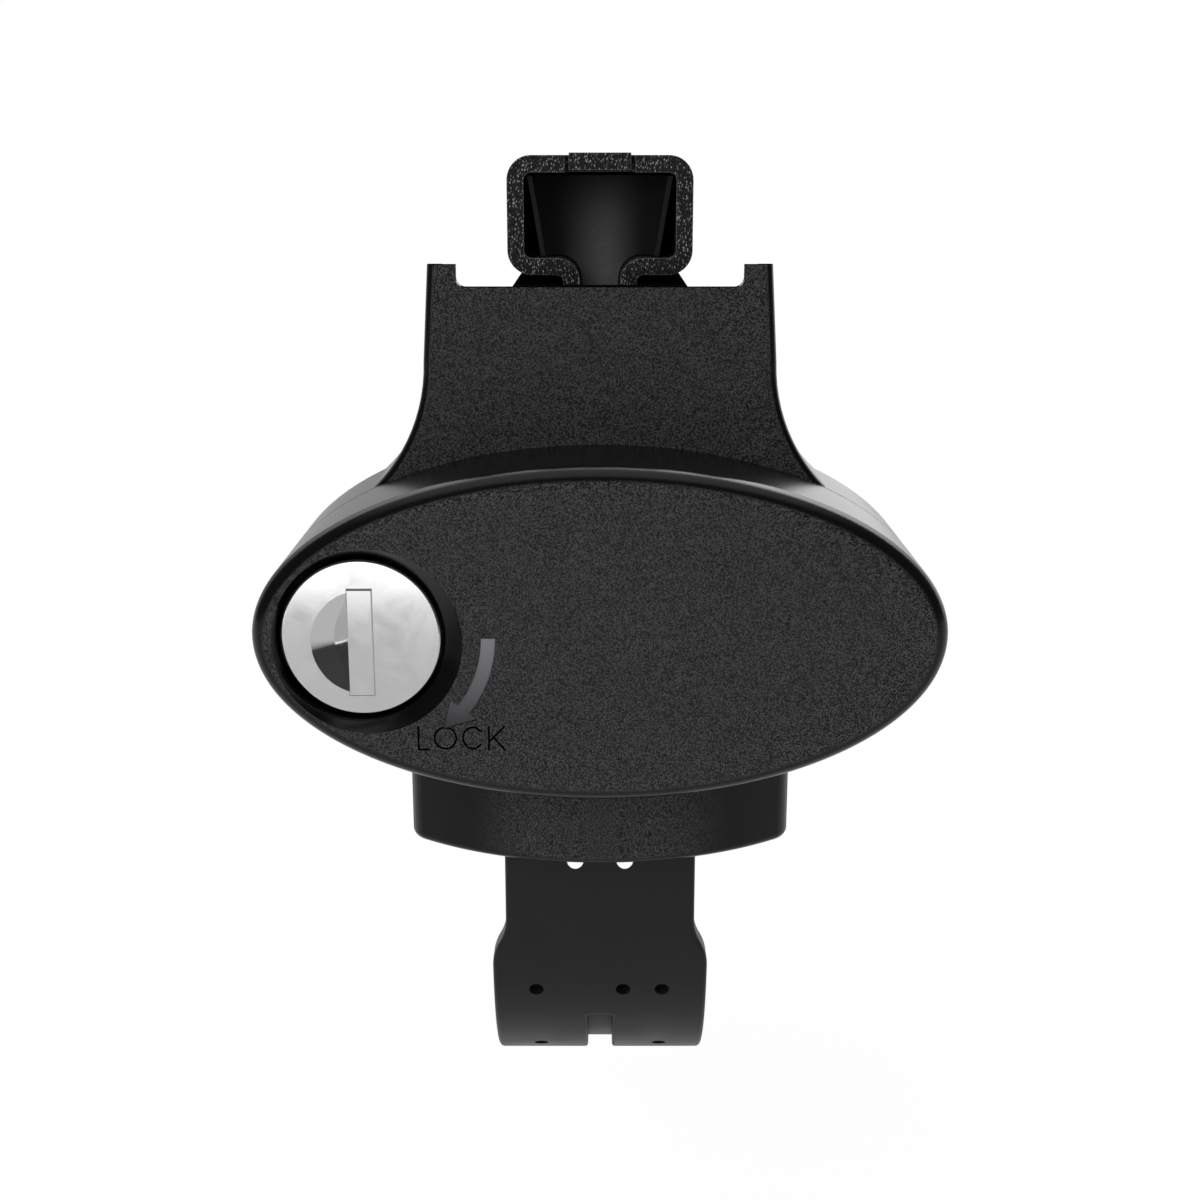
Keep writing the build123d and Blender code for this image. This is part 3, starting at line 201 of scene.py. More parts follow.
class FootArrow(bpy.types.PropertyGroup):
    """Sizes of the arrow beside the knob, as the recess in the cover has them."""

    radius: bpy.props.FloatProperty(
        name="Radius", description="Middle of the arrow's band from its centre", unit="LENGTH",
        default=24.4 * MM,
    )
    shift: bpy.props.FloatProperty(
        name="Shift", description="How far the arrow's centre lies beside the knob's axis", unit="LENGTH",
        default=1.7 * MM,
    )
    rise: bpy.props.FloatProperty(
        name="Rise", description="How far the arrow's centre lies above the knob's axis", unit="LENGTH",
        default=0.85 * MM,
    )
    width: bpy.props.FloatProperty(
        name="Width", description="Width of the arrow's band", unit="LENGTH", default=3.0 * MM,
    )
    barb: bpy.props.FloatProperty(
        name="Barb", description="How far the head stands out on each side", unit="LENGTH",
        default=2.0 * MM,
    )
    head_turn: bpy.props.FloatProperty(
        name="Head", description="Turn from the arrow's tail to its barbs", subtype="ANGLE",
        default=math.radians(38.1),
    )
    tip_turn: bpy.props.FloatProperty(
        name="Tip", description="Turn from the arrow's tail to its tip", subtype="ANGLE",
        default=math.radians(52.2),
    )
    recess: bpy.props.FloatProperty(
        name="Recess", description="Depth of the recess below the cover's face", unit="LENGTH",
        default=0.5 * MM,
    )
    paint: bpy.props.FloatProperty(
        name="Paint", description="Thickness of the paint in the recess", unit="LENGTH", default=0.3 * MM,
    )
    margin: bpy.props.FloatProperty(
        name="Margin", description="Bare edge between the paint and the recess wall", unit="LENGTH",
        default=0.06 * MM,
    )
    lift: bpy.props.FloatProperty(
        name="Lift", description="Gap between the paint and the recess floor", unit="LENGTH",
        default=0.02 * MM,
    )


class FootStudio(bpy.types.PropertyGroup):
    """Camera, floor and lights."""

    eye: bpy.props.FloatVectorProperty(
        name="Camera", description="Place of the camera", subtype="TRANSLATION", size=3,
        default=(0.0, -0.400, 0.142),
    )
    pitch: bpy.props.FloatProperty(
        name="Pitch", description="How far the camera looks down", subtype="ANGLE",
        default=math.radians(14.95),
    )
    lens: bpy.props.FloatProperty(name="Lens", description="Focal length in millimetres", default=50.0)
    floor_drop: bpy.props.FloatProperty(
        name="Floor", description="How far the floor lies below the foot", unit="LENGTH", default=0.12,
    )
    fill: bpy.props.FloatProperty(
        name="Fill", description="Strength of the studio's even light", default=0.45, min=0,
    )
    dark_room: bpy.props.FloatProperty(
        name="Dark room", description="How bright the room behind the camera looks in shiny pieces",
        default=0.045, min=0,
    )
    near_paper: bpy.props.FloatProperty(
        name="Near paper", description="How bright the floor before the foot looks in shiny pieces",
        default=0.53, min=0,
    )
    ceiling: bpy.props.FloatProperty(
        name="Ceiling", description="How bright the ceiling looks in shiny pieces", default=0.9, min=0,
    )
    wall_left: bpy.props.FloatProperty(
        name="Wall, left", description="How bright the wall behind, on the left, looks in shiny pieces",
        default=0.6, min=0,
    )
    wall_right: bpy.props.FloatProperty(
        name="Wall, right", description="How bright the wall behind, on the right, looks in shiny pieces",
        default=1.45, min=0,
    )
    back_paper: bpy.props.FloatProperty(
        name="Back paper", description="How bright the floor behind the foot looks in shiny pieces",
        default=0.75, min=0,
    )
    strip: bpy.props.FloatProperty(
        name="White strip", description="How bright the strip far in front looks in shiny pieces",
        default=2.2, min=0,
    )
    top_power: bpy.props.FloatProperty(
        name="Top light", description="Power of the soft light overhead", unit="POWER", default=5.0,
    )
    side_power: bpy.props.FloatProperty(
        name="Side light", description="Power of each soft light at the sides", unit="POWER", default=2.0,
    )
    front_power: bpy.props.FloatProperty(
        name="Front light", description="Power of the soft light beside the camera", unit="POWER",
        default=6.2,
    )


def new_material(name):
    """An empty node material and its tree."""
    material = bpy.data.materials.new(name)
    material.use_nodes = True
    material.node_tree.nodes.clear()
    return material, material.node_tree


def close_material(tree, shader):
    """Links a shader to the material's output."""
    add_node(tree, "ShaderNodeOutputMaterial", {"Surface": shader.outputs["BSDF"]})


def grained_nylon(name, finishes, roughness, mirror, shade_face_y=None):
    """Glass-filled nylon injection moulded in a spark-eroded tool: pebbled flats, smooth rounded edges."""
    material, tree = new_material(name)
    place = add_node(tree, "ShaderNodeTexCoord").outputs["Object"]
    # The tool is eroded on its upright flats only, so the grain stops where the skin turns away from them.
    facing = add_node(tree, "ShaderNodeNewGeometry").outputs["Normal"]
    turned = add_node(tree, "ShaderNodeVectorMath", {0: facing}, operation="ABSOLUTE").outputs["Vector"]
    sides = add_node(tree, "ShaderNodeSeparateXYZ", {"Vector": turned}).outputs
    upright = add_node(
        tree, "ShaderNodeMath", {0: sides["X"], 1: sides["Y"]}, operation="MAXIMUM",
    ).outputs["Value"]
    flat = add_node(
        tree, "ShaderNodeMapRange",
        {"Value": upright, "From Min": GRAIN_SQUARE[0], "From Max": GRAIN_SQUARE[1]},
        interpolation_type="SMOOTHSTEP",
    ).outputs["Result"]
    # The grain is about a third of a millimetre wide, as fine as it shows in the picture.
    grain = add_node(
        tree, "ShaderNodeTexNoise",
        {"Vector": place, "Scale": per_metre(finishes.nylon_grain), "Detail": 1.0, "Roughness": 0.6},
    ).outputs["Fac"]
    ramp = add_node(tree, "ShaderNodeValToRGB", {"Fac": grain})
    ramp.color_ramp.elements[0].position = 0.40
    ramp.color_ramp.elements[0].color = finishes.nylon_dark
    ramp.color_ramp.elements[1].position = 0.64
    ramp.color_ramp.elements[1].color = finishes.nylon_light
    skin = add_node(
        tree, "ShaderNodeMixRGB",
        {"Fac": flat, "Color1": finishes.nylon_smooth, "Color2": ramp.outputs["Color"]},
    ).outputs["Color"]
    gloss = add_node(
        tree, "ShaderNodeMapRange", {"Value": flat, "To Min": finishes.nylon_polish, "To Max": roughness},
    ).outputs["Result"]
    # Level faces above a given height, which a load bar covers and scuffs, are dull.
    level = add_node(
        tree, "ShaderNodeMapRange",
        {"Value": sides["Z"], "From Min": SCUFF_SQUARE[0], "From Max": SCUFF_SQUARE[1]},
    ).outputs["Result"]
    parts = add_node(tree, "ShaderNodeSeparateXYZ", {"Vector": place}).outputs
    dull_z = finishes.scuff_height
    high = add_node(
        tree, "ShaderNodeMapRange",
        {"Value": parts["Z"], "From Min": dull_z - SCUFF_FADE, "From Max": dull_z},
    ).outputs["Result"]
    dull = add_node(tree, "ShaderNodeMath", {0: level, 1: high}, operation="MULTIPLY").outputs["Value"]
    if shade_face_y is not None:
        # The engraved letters' floors, just behind the face, are painted black as the shade in their
        # recesses.
        sunk = add_node(
            tree, "ShaderNodeMapRange",
            {"Value": parts["Y"], "From Min": shade_face_y + LETTER_SHADE_NEAR[0], "From Max": shade_face_y + LETTER_SHADE_NEAR[1]},
        ).outputs["Result"]
        shallow = add_node(
            tree, "ShaderNodeMapRange",
            {"Value": parts["Y"], "From Min": shade_face_y + LETTER_SHADE_FAR[1], "From Max": shade_face_y + LETTER_SHADE_FAR[0]},
        ).outputs["Result"]
        floor = add_node(
            tree, "ShaderNodeMath", {0: sunk, 1: shallow}, operation="MULTIPLY",
        ).outputs["Value"]
        square = add_node(
            tree, "ShaderNodeMapRange",
            {"Value": sides["Y"], "From Min": LETTER_SHADE_SQUARE[0], "From Max": LETTER_SHADE_SQUARE[1]},
        ).outputs["Result"]
        letter_shade = add_node(
            tree, "ShaderNodeMath", {0: floor, 1: square}, operation="MULTIPLY",
        ).outputs["Value"]
        skin = add_node(
            tree, "ShaderNodeMixRGB", {"Fac": letter_shade, "Color1": skin, "Color2": finishes.painted_letter_shade},
        ).outputs["Color"]
        dull = add_node(tree, "ShaderNodeMath", {0: dull, 1: letter_shade}, operation="MAXIMUM").outputs["Value"]
    specular = add_node(
        tree, "ShaderNodeMapRange", {"Value": dull, "To Min": mirror, "To Max": 0.0},
    ).outputs["Result"]
    relief = add_node(tree, "ShaderNodeMath", {0: grain, 1: flat}, operation="MULTIPLY").outputs["Value"]
    bump = add_node(
        tree, "ShaderNodeBump", {"Height": relief, "Strength": 0.3, "Distance": 0.05 * MM},
    ).outputs["Normal"]
    shader = add_node(
        tree, "ShaderNodeBsdfPrincipled",
        {
            "Base Color": skin, "Roughness": gloss, "Normal": bump,
            "IOR": 1.53, "Specular IOR Level": specular,
        },
    )
    close_material(tree, shader)
    return material


def smooth_moulding(name, colour, roughness):
    """Polypropylene, rubber or dip coat from a plain tool or bath: even black, faint flow marks, specks."""
    material, tree = new_material(name)
    place = add_node(tree, "ShaderNodeTexCoord").outputs["Object"]
    specks = add_node(
        tree, "ShaderNodeTexNoise",
        {"Vector": place, "Scale": per_metre(0.4), "Detail": 3.0, "Roughness": 0.65},
    ).outputs["Fac"]
    flow = add_node(
        tree, "ShaderNodeTexNoise",
        {"Vector": place, "Scale": per_metre(18), "Detail": 3.0, "Roughness": 0.55, "Distortion": 0.8},
    ).outputs["Fac"]
    darker = [0.75 * c for c in colour[:3]] + [1]
    lighter = [1.25 * c for c in colour[:3]] + [1]
    tint = add_node(
        tree, "ShaderNodeMixRGB", {"Fac": flow, "Color1": darker, "Color2": lighter},
    ).outputs["Color"]
    gloss = add_node(
        tree, "ShaderNodeMapRange",
        {
            "Value": flow, "From Min": 0.3, "From Max": 0.7,
            "To Min": roughness - 0.05, "To Max": roughness + 0.05,
        },
    ).outputs["Result"]
    bump = add_node(
        tree, "ShaderNodeBump", {"Height": specks, "Strength": 0.12, "Distance": 0.02 * MM},
    ).outputs["Normal"]
    shader = add_node(
        tree, "ShaderNodeBsdfPrincipled",
        {"Base Color": tint, "Roughness": gloss, "Normal": bump, "IOR": 1.5, "Specular IOR Level": 0.3},
    )
    close_material(tree, shader)
    return material


def sheen_painted_moulding(name, finishes, top_z, drop, half_width):
    """Polypropylene moulded in a plain tool, with a painted sheen: paler low in the middle, where the
    concave scoop catches the light.
    """
    material, tree = new_material(name)
    place = add_node(tree, "ShaderNodeTexCoord").outputs["Object"]
    parts = add_node(tree, "ShaderNodeSeparateXYZ", {"Vector": place}).outputs
    # Painted sheen: paler low in the middle of the scoop, with patches.
    low = add_node(
        tree, "ShaderNodeMapRange", {"Value": parts["Z"], "From Min": top_z, "From Max": top_z - drop},
    ).outputs["Result"]
    off_middle = add_node(tree, "ShaderNodeMath", {0: parts["X"]}, operation="ABSOLUTE").outputs["Value"]
    middle = add_node(
        tree, "ShaderNodeMapRange",
        {"Value": off_middle, "From Min": 0.0, "From Max": half_width, "To Min": 1.0, "To Max": 0.0},
        interpolation_type="SMOOTHSTEP",
    ).outputs["Result"]
    specks = add_node(
        tree, "ShaderNodeTexNoise",
        {"Vector": place, "Scale": per_metre(0.5), "Detail": 2.0, "Roughness": 0.6},
    ).outputs["Fac"]
    patchy = add_node(
        tree, "ShaderNodeMapRange",
        {"Value": specks, "From Min": 0.3, "From Max": 0.7, "To Min": 0.75, "To Max": 1.0},
    ).outputs["Result"]
    painted_sheen = add_node(tree, "ShaderNodeMath", {0: low, 1: middle}, operation="MULTIPLY").outputs["Value"]
    patchy_sheen = add_node(tree, "ShaderNodeMath", {0: painted_sheen, 1: patchy}, operation="MULTIPLY").outputs["Value"]
    skin = add_node(
        tree, "ShaderNodeMixRGB",
        {"Fac": patchy_sheen, "Color1": finishes.core_black, "Color2": finishes.core_painted_sheen},
    ).outputs["Color"]
    bump = add_node(
        tree, "ShaderNodeBump", {"Height": specks, "Strength": 0.15, "Distance": 0.03 * MM},
    ).outputs["Normal"]
    shader = add_node(
        tree, "ShaderNodeBsdfPrincipled",
        {"Base Color": skin, "Roughness": 0.5, "Normal": bump, "IOR": 1.49, "Specular IOR Level": 0.25},
    )
    close_material(tree, shader)
    return material


def leathered_powder_coat(name, finishes):
    """Black polyester powder coat baked on folded steel: leathery cells, with glints painted on them and a
    highlight painted along the edges.
    """
    material, tree = new_material(name)
    place = add_node(tree, "ShaderNodeTexCoord").outputs["Object"]
    # The cells lean, and are about twice as long as they are wide.
    leaning = add_node(
        tree, "ShaderNodeMapping",
        {"Vector": place, "Rotation": (0.0, math.radians(35), 0.0), "Scale": (1.0, 1.0, 0.5)},
    ).outputs["Vector"]
    cells = add_node(
        tree, "ShaderNodeTexVoronoi",
        {"Vector": leaning, "Scale": per_metre(finishes.coat_grain), "Randomness": 1.0},
        feature="F1",
    ).outputs
    # The cells' glints are painted highlights in the colour, lightest at each cell's middle.
    shine = add_node(
        tree, "ShaderNodeMapRange",
        {"Value": cells["Distance"], "From Min": 0.10, "From Max": 0.42, "To Min": 1.0, "To Max": 0.0},
    ).outputs["Result"]
    # Not every cell catches the light.
    chance = add_node(tree, "ShaderNodeSeparateColor", {"Color": cells["Color"]}).outputs["Red"]
    lit = add_node(
        tree, "ShaderNodeMapRange", {"Value": chance, "From Min": 0.1, "From Max": 0.8},
    ).outputs["Result"]
    glint = add_node(tree, "ShaderNodeMath", {0: shine, 1: lit}, operation="MULTIPLY").outputs["Value"]
    # A highlight is painted pale along the sheet's edges, where the rounded edges catch the light.
    facing = add_node(tree, "ShaderNodeNewGeometry").outputs["Normal"]
    rounded = add_node(tree, "ShaderNodeBevel", {"Radius": 0.3 * MM}, samples=6).outputs["Normal"]
    turn = add_node(
        tree, "ShaderNodeVectorMath", {0: facing, 1: rounded}, operation="DOT_PRODUCT",
    ).outputs["Value"]
    edge = add_node(
        tree, "ShaderNodeMapRange",
        {"Value": turn, "From Min": 0.99, "From Max": 0.80, "To Min": 0.0, "To Max": 0.35},
    ).outputs["Result"]
    pale = add_node(tree, "ShaderNodeMath", {0: glint, 1: edge}, operation="MAXIMUM").outputs["Value"]
    # The painted glints and the painted edge highlight lighten the coat's colour.
    skin = add_node(
        tree, "ShaderNodeMixRGB",
        {"Fac": pale, "Color1": finishes.coat_dark, "Color2": finishes.painted_coat_glint},
    ).outputs["Color"]
    bump = add_node(
        tree, "ShaderNodeBump",
        {"Height": cells["Distance"], "Strength": 0.8, "Distance": 0.15 * MM, "Normal": rounded},
        invert=True,
    ).outputs["Normal"]
    shader = add_node(
        tree, "ShaderNodeBsdfPrincipled",
        {"Base Color": skin, "Roughness": 0.42, "Normal": bump, "IOR": 1.5, "Specular IOR Level": 0.35},
    )
    close_material(tree, shader)
    return material


def satin_metal(name, colour, roughness, cloud_mm):
    """Anodised aluminium, plated steel or brass with a satin face: soft even metal, clouded by handling."""
    material, tree = new_material(name)
    place = add_node(tree, "ShaderNodeTexCoord").outputs["Object"]
    cloud = add_node(
        tree, "ShaderNodeTexNoise",
        {"Vector": place, "Scale": per_metre(cloud_mm), "Detail": 4.0, "Roughness": 0.6, "Distortion": 0.6},
    ).outputs["Fac"]
    gloss = add_node(
        tree, "ShaderNodeMapRange",
        {
            "Value": cloud, "From Min": 0.3, "From Max": 0.7,
            "To Min": roughness - 0.05, "To Max": roughness + 0.05,
        },
    ).outputs["Result"]
    tint = add_node(
        tree, "ShaderNodeMixRGB",
        {"Fac": cloud, "Color1": [0.92 * c for c in colour[:3]] + [1], "Color2": colour},
    ).outputs["Color"]
    bump = add_node(
        tree, "ShaderNodeBump", {"Height": cloud, "Strength": 0.1, "Distance": 0.05 * MM},
    ).outputs["Normal"]
    shader = add_node(
        tree, "ShaderNodeBsdfPrincipled",
        {"Base Color": tint, "Roughness": gloss, "Normal": bump, "Metallic": 1.0},
    )
    close_material(tree, shader)
    return material


def pad_paint(name, finishes, tail_z, drop):
    """Pad-printed grey ink in the arrow's recess with a slight peel, and a painted reflection: lighter at
    the tail, darker toward the tip.
    """
    material, tree = new_material(name)
    place = add_node(tree, "ShaderNodeTexCoord").outputs["Object"]
    peel = add_node(
        tree, "ShaderNodeTexNoise",
        {"Vector": place, "Scale": per_metre(0.8), "Detail": 2.0, "Roughness": 0.5},
    ).outputs["Fac"]
    height = add_node(tree, "ShaderNodeSeparateXYZ", {"Vector": place}).outputs["Z"]
    # Painted reflection: the print is lighter at the tail and darker toward the tip.
    fade = add_node(
        tree, "ShaderNodeMapRange", {"Value": height, "From Min": tail_z, "From Max": tail_z - drop},
    ).outputs["Result"]
    tint = add_node(
        tree, "ShaderNodeMixRGB",
        {"Fac": fade, "Color1": finishes.arrow_lit_tail, "Color2": finishes.arrow_shaded_tip},
    ).outputs["Color"]
    bump = add_node(
        tree, "ShaderNodeBump", {"Height": peel, "Strength": 0.1, "Distance": 0.02 * MM},
    ).outputs["Normal"]
    shader = add_node(
        tree, "ShaderNodeBsdfPrincipled",
        {"Base Color": tint, "Roughness": 0.5, "Normal": bump, "IOR": 1.5, "Specular IOR Level": 0.3},
    )
    close_material(tree, shader)
    return material


def dress(material, *names):
    """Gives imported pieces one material."""
    for name in names:
        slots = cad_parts[name].data.materials
        slots.clear()
        slots.append(material)


def mesh_object(name, builder):
    """A new object in the scene from a bmesh."""
    mesh = bpy.data.meshes.new(name)
    builder.to_mesh(mesh)
    builder.free()
    piece = bpy.data.objects.new(name, mesh)
    bpy.context.scene.collection.objects.link(piece)
    return piece


class FOOT_OT_mouldings(bpy.types.Operator):
    """Gives the housing, the rear cover and the front cover their grained black skin"""

    bl_idname = "foot.mouldings"
    bl_label = "Black mouldings"

    def execute(self, context):
        finishes = context.scene.foot_finishes
        housing = grained_nylon("nylon_moulded_housing", finishes, roughness=0.6, mirror=0.25)
        dress(housing, "main_housing", "latch_panel", "rear_cover")
        face_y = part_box("front_cover")[0][1]
        cover = grained_nylon("nylon_moulded_cover", finishes, roughness=0.5, mirror=0.28, shade_face_y=face_y)
        dress(cover, "front_cover")
        return {"FINISHED"}


class FOOT_OT_arrow(bpy.types.Operator):
    """Lays grey paint in the arrow's recess beside the knob"""

    bl_idname = "foot.arrow"
    bl_label = "Arrow paint"

    def execute(self, context):
        arrow = context.scene.foot_arrow
        low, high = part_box("latch_seal")
        axis_x = (low[0] + high[0]) / 2 + arrow.shift
        axis_z = (low[2] + high[2]) / 2 + arrow.rise
        floor_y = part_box("front_cover")[0][1] + arrow.recess
        inner = arrow.radius - arrow.width / 2 + arrow.margin
        outer = arrow.radius + arrow.width / 2 - arrow.margin
        steps = 40
        turns = [arrow.head_turn * i / steps for i in range(steps + 1)]
        turns[0] = arrow.margin / arrow.radius
        tip = (arrow.radius, arrow.tip_turn - 2 * arrow.margin / arrow.radius)
        barb = arrow.barb - 2 * arrow.margin
        outline = [(outer, t) for t in turns]
        outline += [(outer + barb, arrow.head_turn), tip, (inner - barb, arrow.head_turn)]
        outline += [(inner, t) for t in reversed(turns)]
        builder = bmesh.new()
        rim = []
        for radius, turn in outline:
            x, z = axis_x + radius * math.cos(turn), axis_z - radius * math.sin(turn)
            rim.append(builder.verts.new((x, floor_y - arrow.paint, z)))
        face = builder.faces.new(rim)
        made = bmesh.ops.extrude_face_region(builder, geom=[face])["geom"]
        moved = [v for v in made if isinstance(v, bmesh.types.BMVert)]
        bmesh.ops.translate(builder, verts=moved, vec=Vector((0, arrow.paint - arrow.lift, 0)))
        bmesh.ops.recalc_face_normals(builder, faces=builder.faces)
        piece = mesh_object("arrow_paint", builder)
        drop = arrow.radius * math.sin(arrow.tip_turn)
        paint = pad_paint("ink_pad_printed_grey", context.scene.foot_finishes, axis_z, drop)
        piece.data.materials.append(paint)
        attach(piece, "cover")
        return {"FINISHED"}


class FOOT_OT_latch(bpy.types.Operator):
    """Gives the knob its satin aluminium and the latch behind it brass and rubber"""

    bl_idname = "foot.latch"
    bl_label = "Latch"

    def execute(self, context):
        finishes = context.scene.foot_finishes
        knob = satin_metal("aluminium_satin_anodised", finishes.knob_metal, roughness=0.11, cloud_mm=7.0)
        dress(knob, "latch_knob")
        bush = satin_metal("brass_turned", finishes.brass, roughness=0.3, cloud_mm=3.0)
        dress(bush, "latch_bush")
        seal = smooth_moulding("nitrile_moulded_seal", finishes.rubber_black, roughness=0.6)
        dress(seal, "latch_seal")
        return {"FINISHED"}


class FOOT_OT_bar_head(bpy.types.Operator):
    """Gives the folded bar head its leathery powder coat with painted glints, and its core a black skin
    with a painted sheen
    """

    bl_idname = "foot.bar_head"
    bl_label = "Bar head"

    def execute(self, context):
        finishes = context.scene.foot_finishes
        dress(leathered_powder_coat("steel_powder_coated", finishes), "bar_head")
        low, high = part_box("head_core")
        core = sheen_painted_moulding(
            "polypropylene_moulded_core", finishes,
            top_z=high[2], drop=high[2] - low[2], half_width=CORE_SHEEN_HALF,
        )
        dress(core, "head_core")
        return {"FINISHED"}


class FOOT_OT_hook(bpy.types.Operator):
    """Gives the hook's coat and the rail pad their moulded rubber"""

    bl_idname = "foot.hook"
    bl_label = "Hook and pad"

    def execute(self, context):
        finishes = context.scene.foot_finishes
        coat = smooth_moulding("rubber_moulded_hook", finishes.rubber_black, roughness=0.40)
        dress(coat, "hook_rubber")
        strap = smooth_moulding("epoxy_dip_coated_strap", finishes.rubber_black, roughness=0.45)
        dress(strap, "hook_steel")
        pad = smooth_moulding("rubber_moulded_pad", finishes.rubber_black, roughness=0.6)
        dress(pad, "rail_pad")
        return {"FINISHED"}


class FOOT_OT_inner_steel(bpy.types.Operator):
    """Gives the plated steel pieces inside the foot their zinc"""

    bl_idname = "foot.inner_steel"
    bl_label = "Inner steel"

    def execute(self, context):
        finishes = context.scene.foot_finishes
        zinc = satin_metal("steel_zinc_plated", finishes.zinc, roughness=0.34, cloud_mm=4.0)
        dress(
            zinc, "steel_frame", "frame_screws", "rear_screws", "hanger", "hanger_pins", "thrust_washer",
            "tension_wheel", "tension_bolt", "latch_washer", "latch_clip", "latch_cam", "cam_screw",
        )
        return {"FINISHED"}


class FOOT_OT_stage(bpy.types.Operator):
    """Sets up the pale floor, the soft lights, the white backdrop and the camera"""

    bl_idname = "foot.stage"
    bl_label = "Studio"

    def execute(self, context):
        studio = context.scene.foot_studio
        self.make_floor(studio)
        self.make_world(context.scene, studio)
        self.make_lights(studio)
        self.make_camera(context.scene, studio)
        context.scene.view_settings.view_transform = "Standard"
        return {"FINISHED"}

    def make_floor(self, studio):
        """White paper below the foot, which shiny pieces see as shaded in front."""
        builder = bmesh.new()
        bmesh.ops.create_grid(builder, x_segments=1, y_segments=1, size=FLOOR_HALF)
        floor = mesh_object("studio_floor", builder)
        floor.location.z = CAD_BOX[0][2] - studio.floor_drop
        material, tree = new_material("paper_matt_white")
        place = add_node(tree, "ShaderNodeTexCoord").outputs["Object"]
        reach = add_node(tree, "ShaderNodeVectorMath", {0: place}, operation="LENGTH").outputs["Value"]
        far = add_node(
            tree, "ShaderNodeMapRange",
            {"Value": reach, "From Min": SHADOW_REACH[0], "From Max": SHADOW_REACH[1], "To Min": 0.6},
            interpolation_type="SMOOTHSTEP",
        ).outputs["Result"]
        path = add_node(tree, "ShaderNodeLightPath").outputs
        mirror = add_node(
            tree, "ShaderNodeMath", {0: path["Is Glossy Ray"], 1: path["Is Transmission Ray"]},
            operation="MAXIMUM",
        ).outputs["Value"]
        backdrop = add_node(
            tree, "ShaderNodeMath", {0: far, 1: path["Is Camera Ray"]}, operation="MULTIPLY",
        ).outputs["Value"]
        own_light = add_node(
            tree, "ShaderNodeMath", {0: backdrop, 1: mirror}, operation="MAXIMUM",
        ).outputs["Value"]
        # Shiny pieces see pale paper behind the foot and shade in front of it. Far in front on the left
        # lies a white strip, and on the right the shade deepens until it is as dark as the room.
        parts = add_node(tree, "ShaderNodeSeparateXYZ", {"Vector": place}).outputs
        behind = add_node(
            tree, "ShaderNodeMapRange",
            {
                "Value": parts["Y"], "From Min": PAPER_TURN_Y[0], "From Max": PAPER_TURN_Y[1],
                "To Min": studio.near_paper, "To Max": studio.back_paper,
            },
        ).outputs["Result"]
        strip = add_node(
            tree, "ShaderNodeMapRange",
            {
                "Value": parts["Y"], "From Min": STRIP_NEAR_Y[0], "From Max": STRIP_NEAR_Y[1],
                "To Min": studio.near_paper, "To Max": studio.strip,
            },
        ).outputs["Result"]
        beyond = add_node(
            tree, "ShaderNodeMapRange",
            {
                "Value": parts["Y"], "From Min": STRIP_FAR_Y[0], "From Max": STRIP_FAR_Y[1],
                "To Min": studio.strip, "To Max": studio.dark_room,
            },
        ).outputs["Result"]
        fading = add_node(
            tree, "ShaderNodeMapRange",
            {
                "Value": parts["Y"], "From Min": SHADE_Y[0], "From Max": SHADE_Y[1],
                "To Min": studio.back_paper, "To Max": studio.dark_room,
            },
        ).outputs["Result"]
        near_left = add_node(
            tree, "ShaderNodeMath", {0: behind, 1: strip}, operation="MAXIMUM",
        ).outputs["Value"]
        left = add_node(
            tree, "ShaderNodeMath", {0: near_left, 1: beyond}, operation="MINIMUM",
        ).outputs["Value"]
        right = add_node(
            tree, "ShaderNodeMath", {0: behind, 1: fading}, operation="MINIMUM",
        ).outputs["Value"]
        seen = add_node(
            tree, "ShaderNodeMapRange",
            {
                "Value": parts["X"], "From Min": STRIP_END_X[0], "From Max": STRIP_END_X[1],
                "To Min": left, "To Max": right,
            },
        ).outputs["Result"]
        level = add_node(
            tree, "ShaderNodeMath", {0: seen, 1: path["Is Camera Ray"]}, operation="MAXIMUM",
        ).outputs["Value"]
        paper = add_node(tree, "ShaderNodeBsdfDiffuse", {"Color": linear("#F2F2F2")}).outputs["BSDF"]
        glow = add_node(
            tree, "ShaderNodeEmission", {"Color": linear("#FFFFFF"), "Strength": level},
        ).outputs["Emission"]
        mixed = add_node(tree, "ShaderNodeMixShader", {0: own_light, 1: paper, 2: glow}).outputs["Shader"]
        add_node(tree, "ShaderNodeOutputMaterial", {"Surface": mixed})
        floor.data.materials.append(material)

    def make_world(self, scene, studio):
        """White for the camera, even light for the foot, and a painted room for its shiny pieces."""
        world = bpy.data.worlds.new("white_studio")
        world.use_nodes = True
        tree = world.node_tree
        tree.nodes.clear()
        path = add_node(tree, "ShaderNodeLightPath").outputs
        mirror = add_node(
            tree, "ShaderNodeMath", {0: path["Is Glossy Ray"], 1: path["Is Transmission Ray"]},
            operation="MAXIMUM",
        ).outputs["Value"]
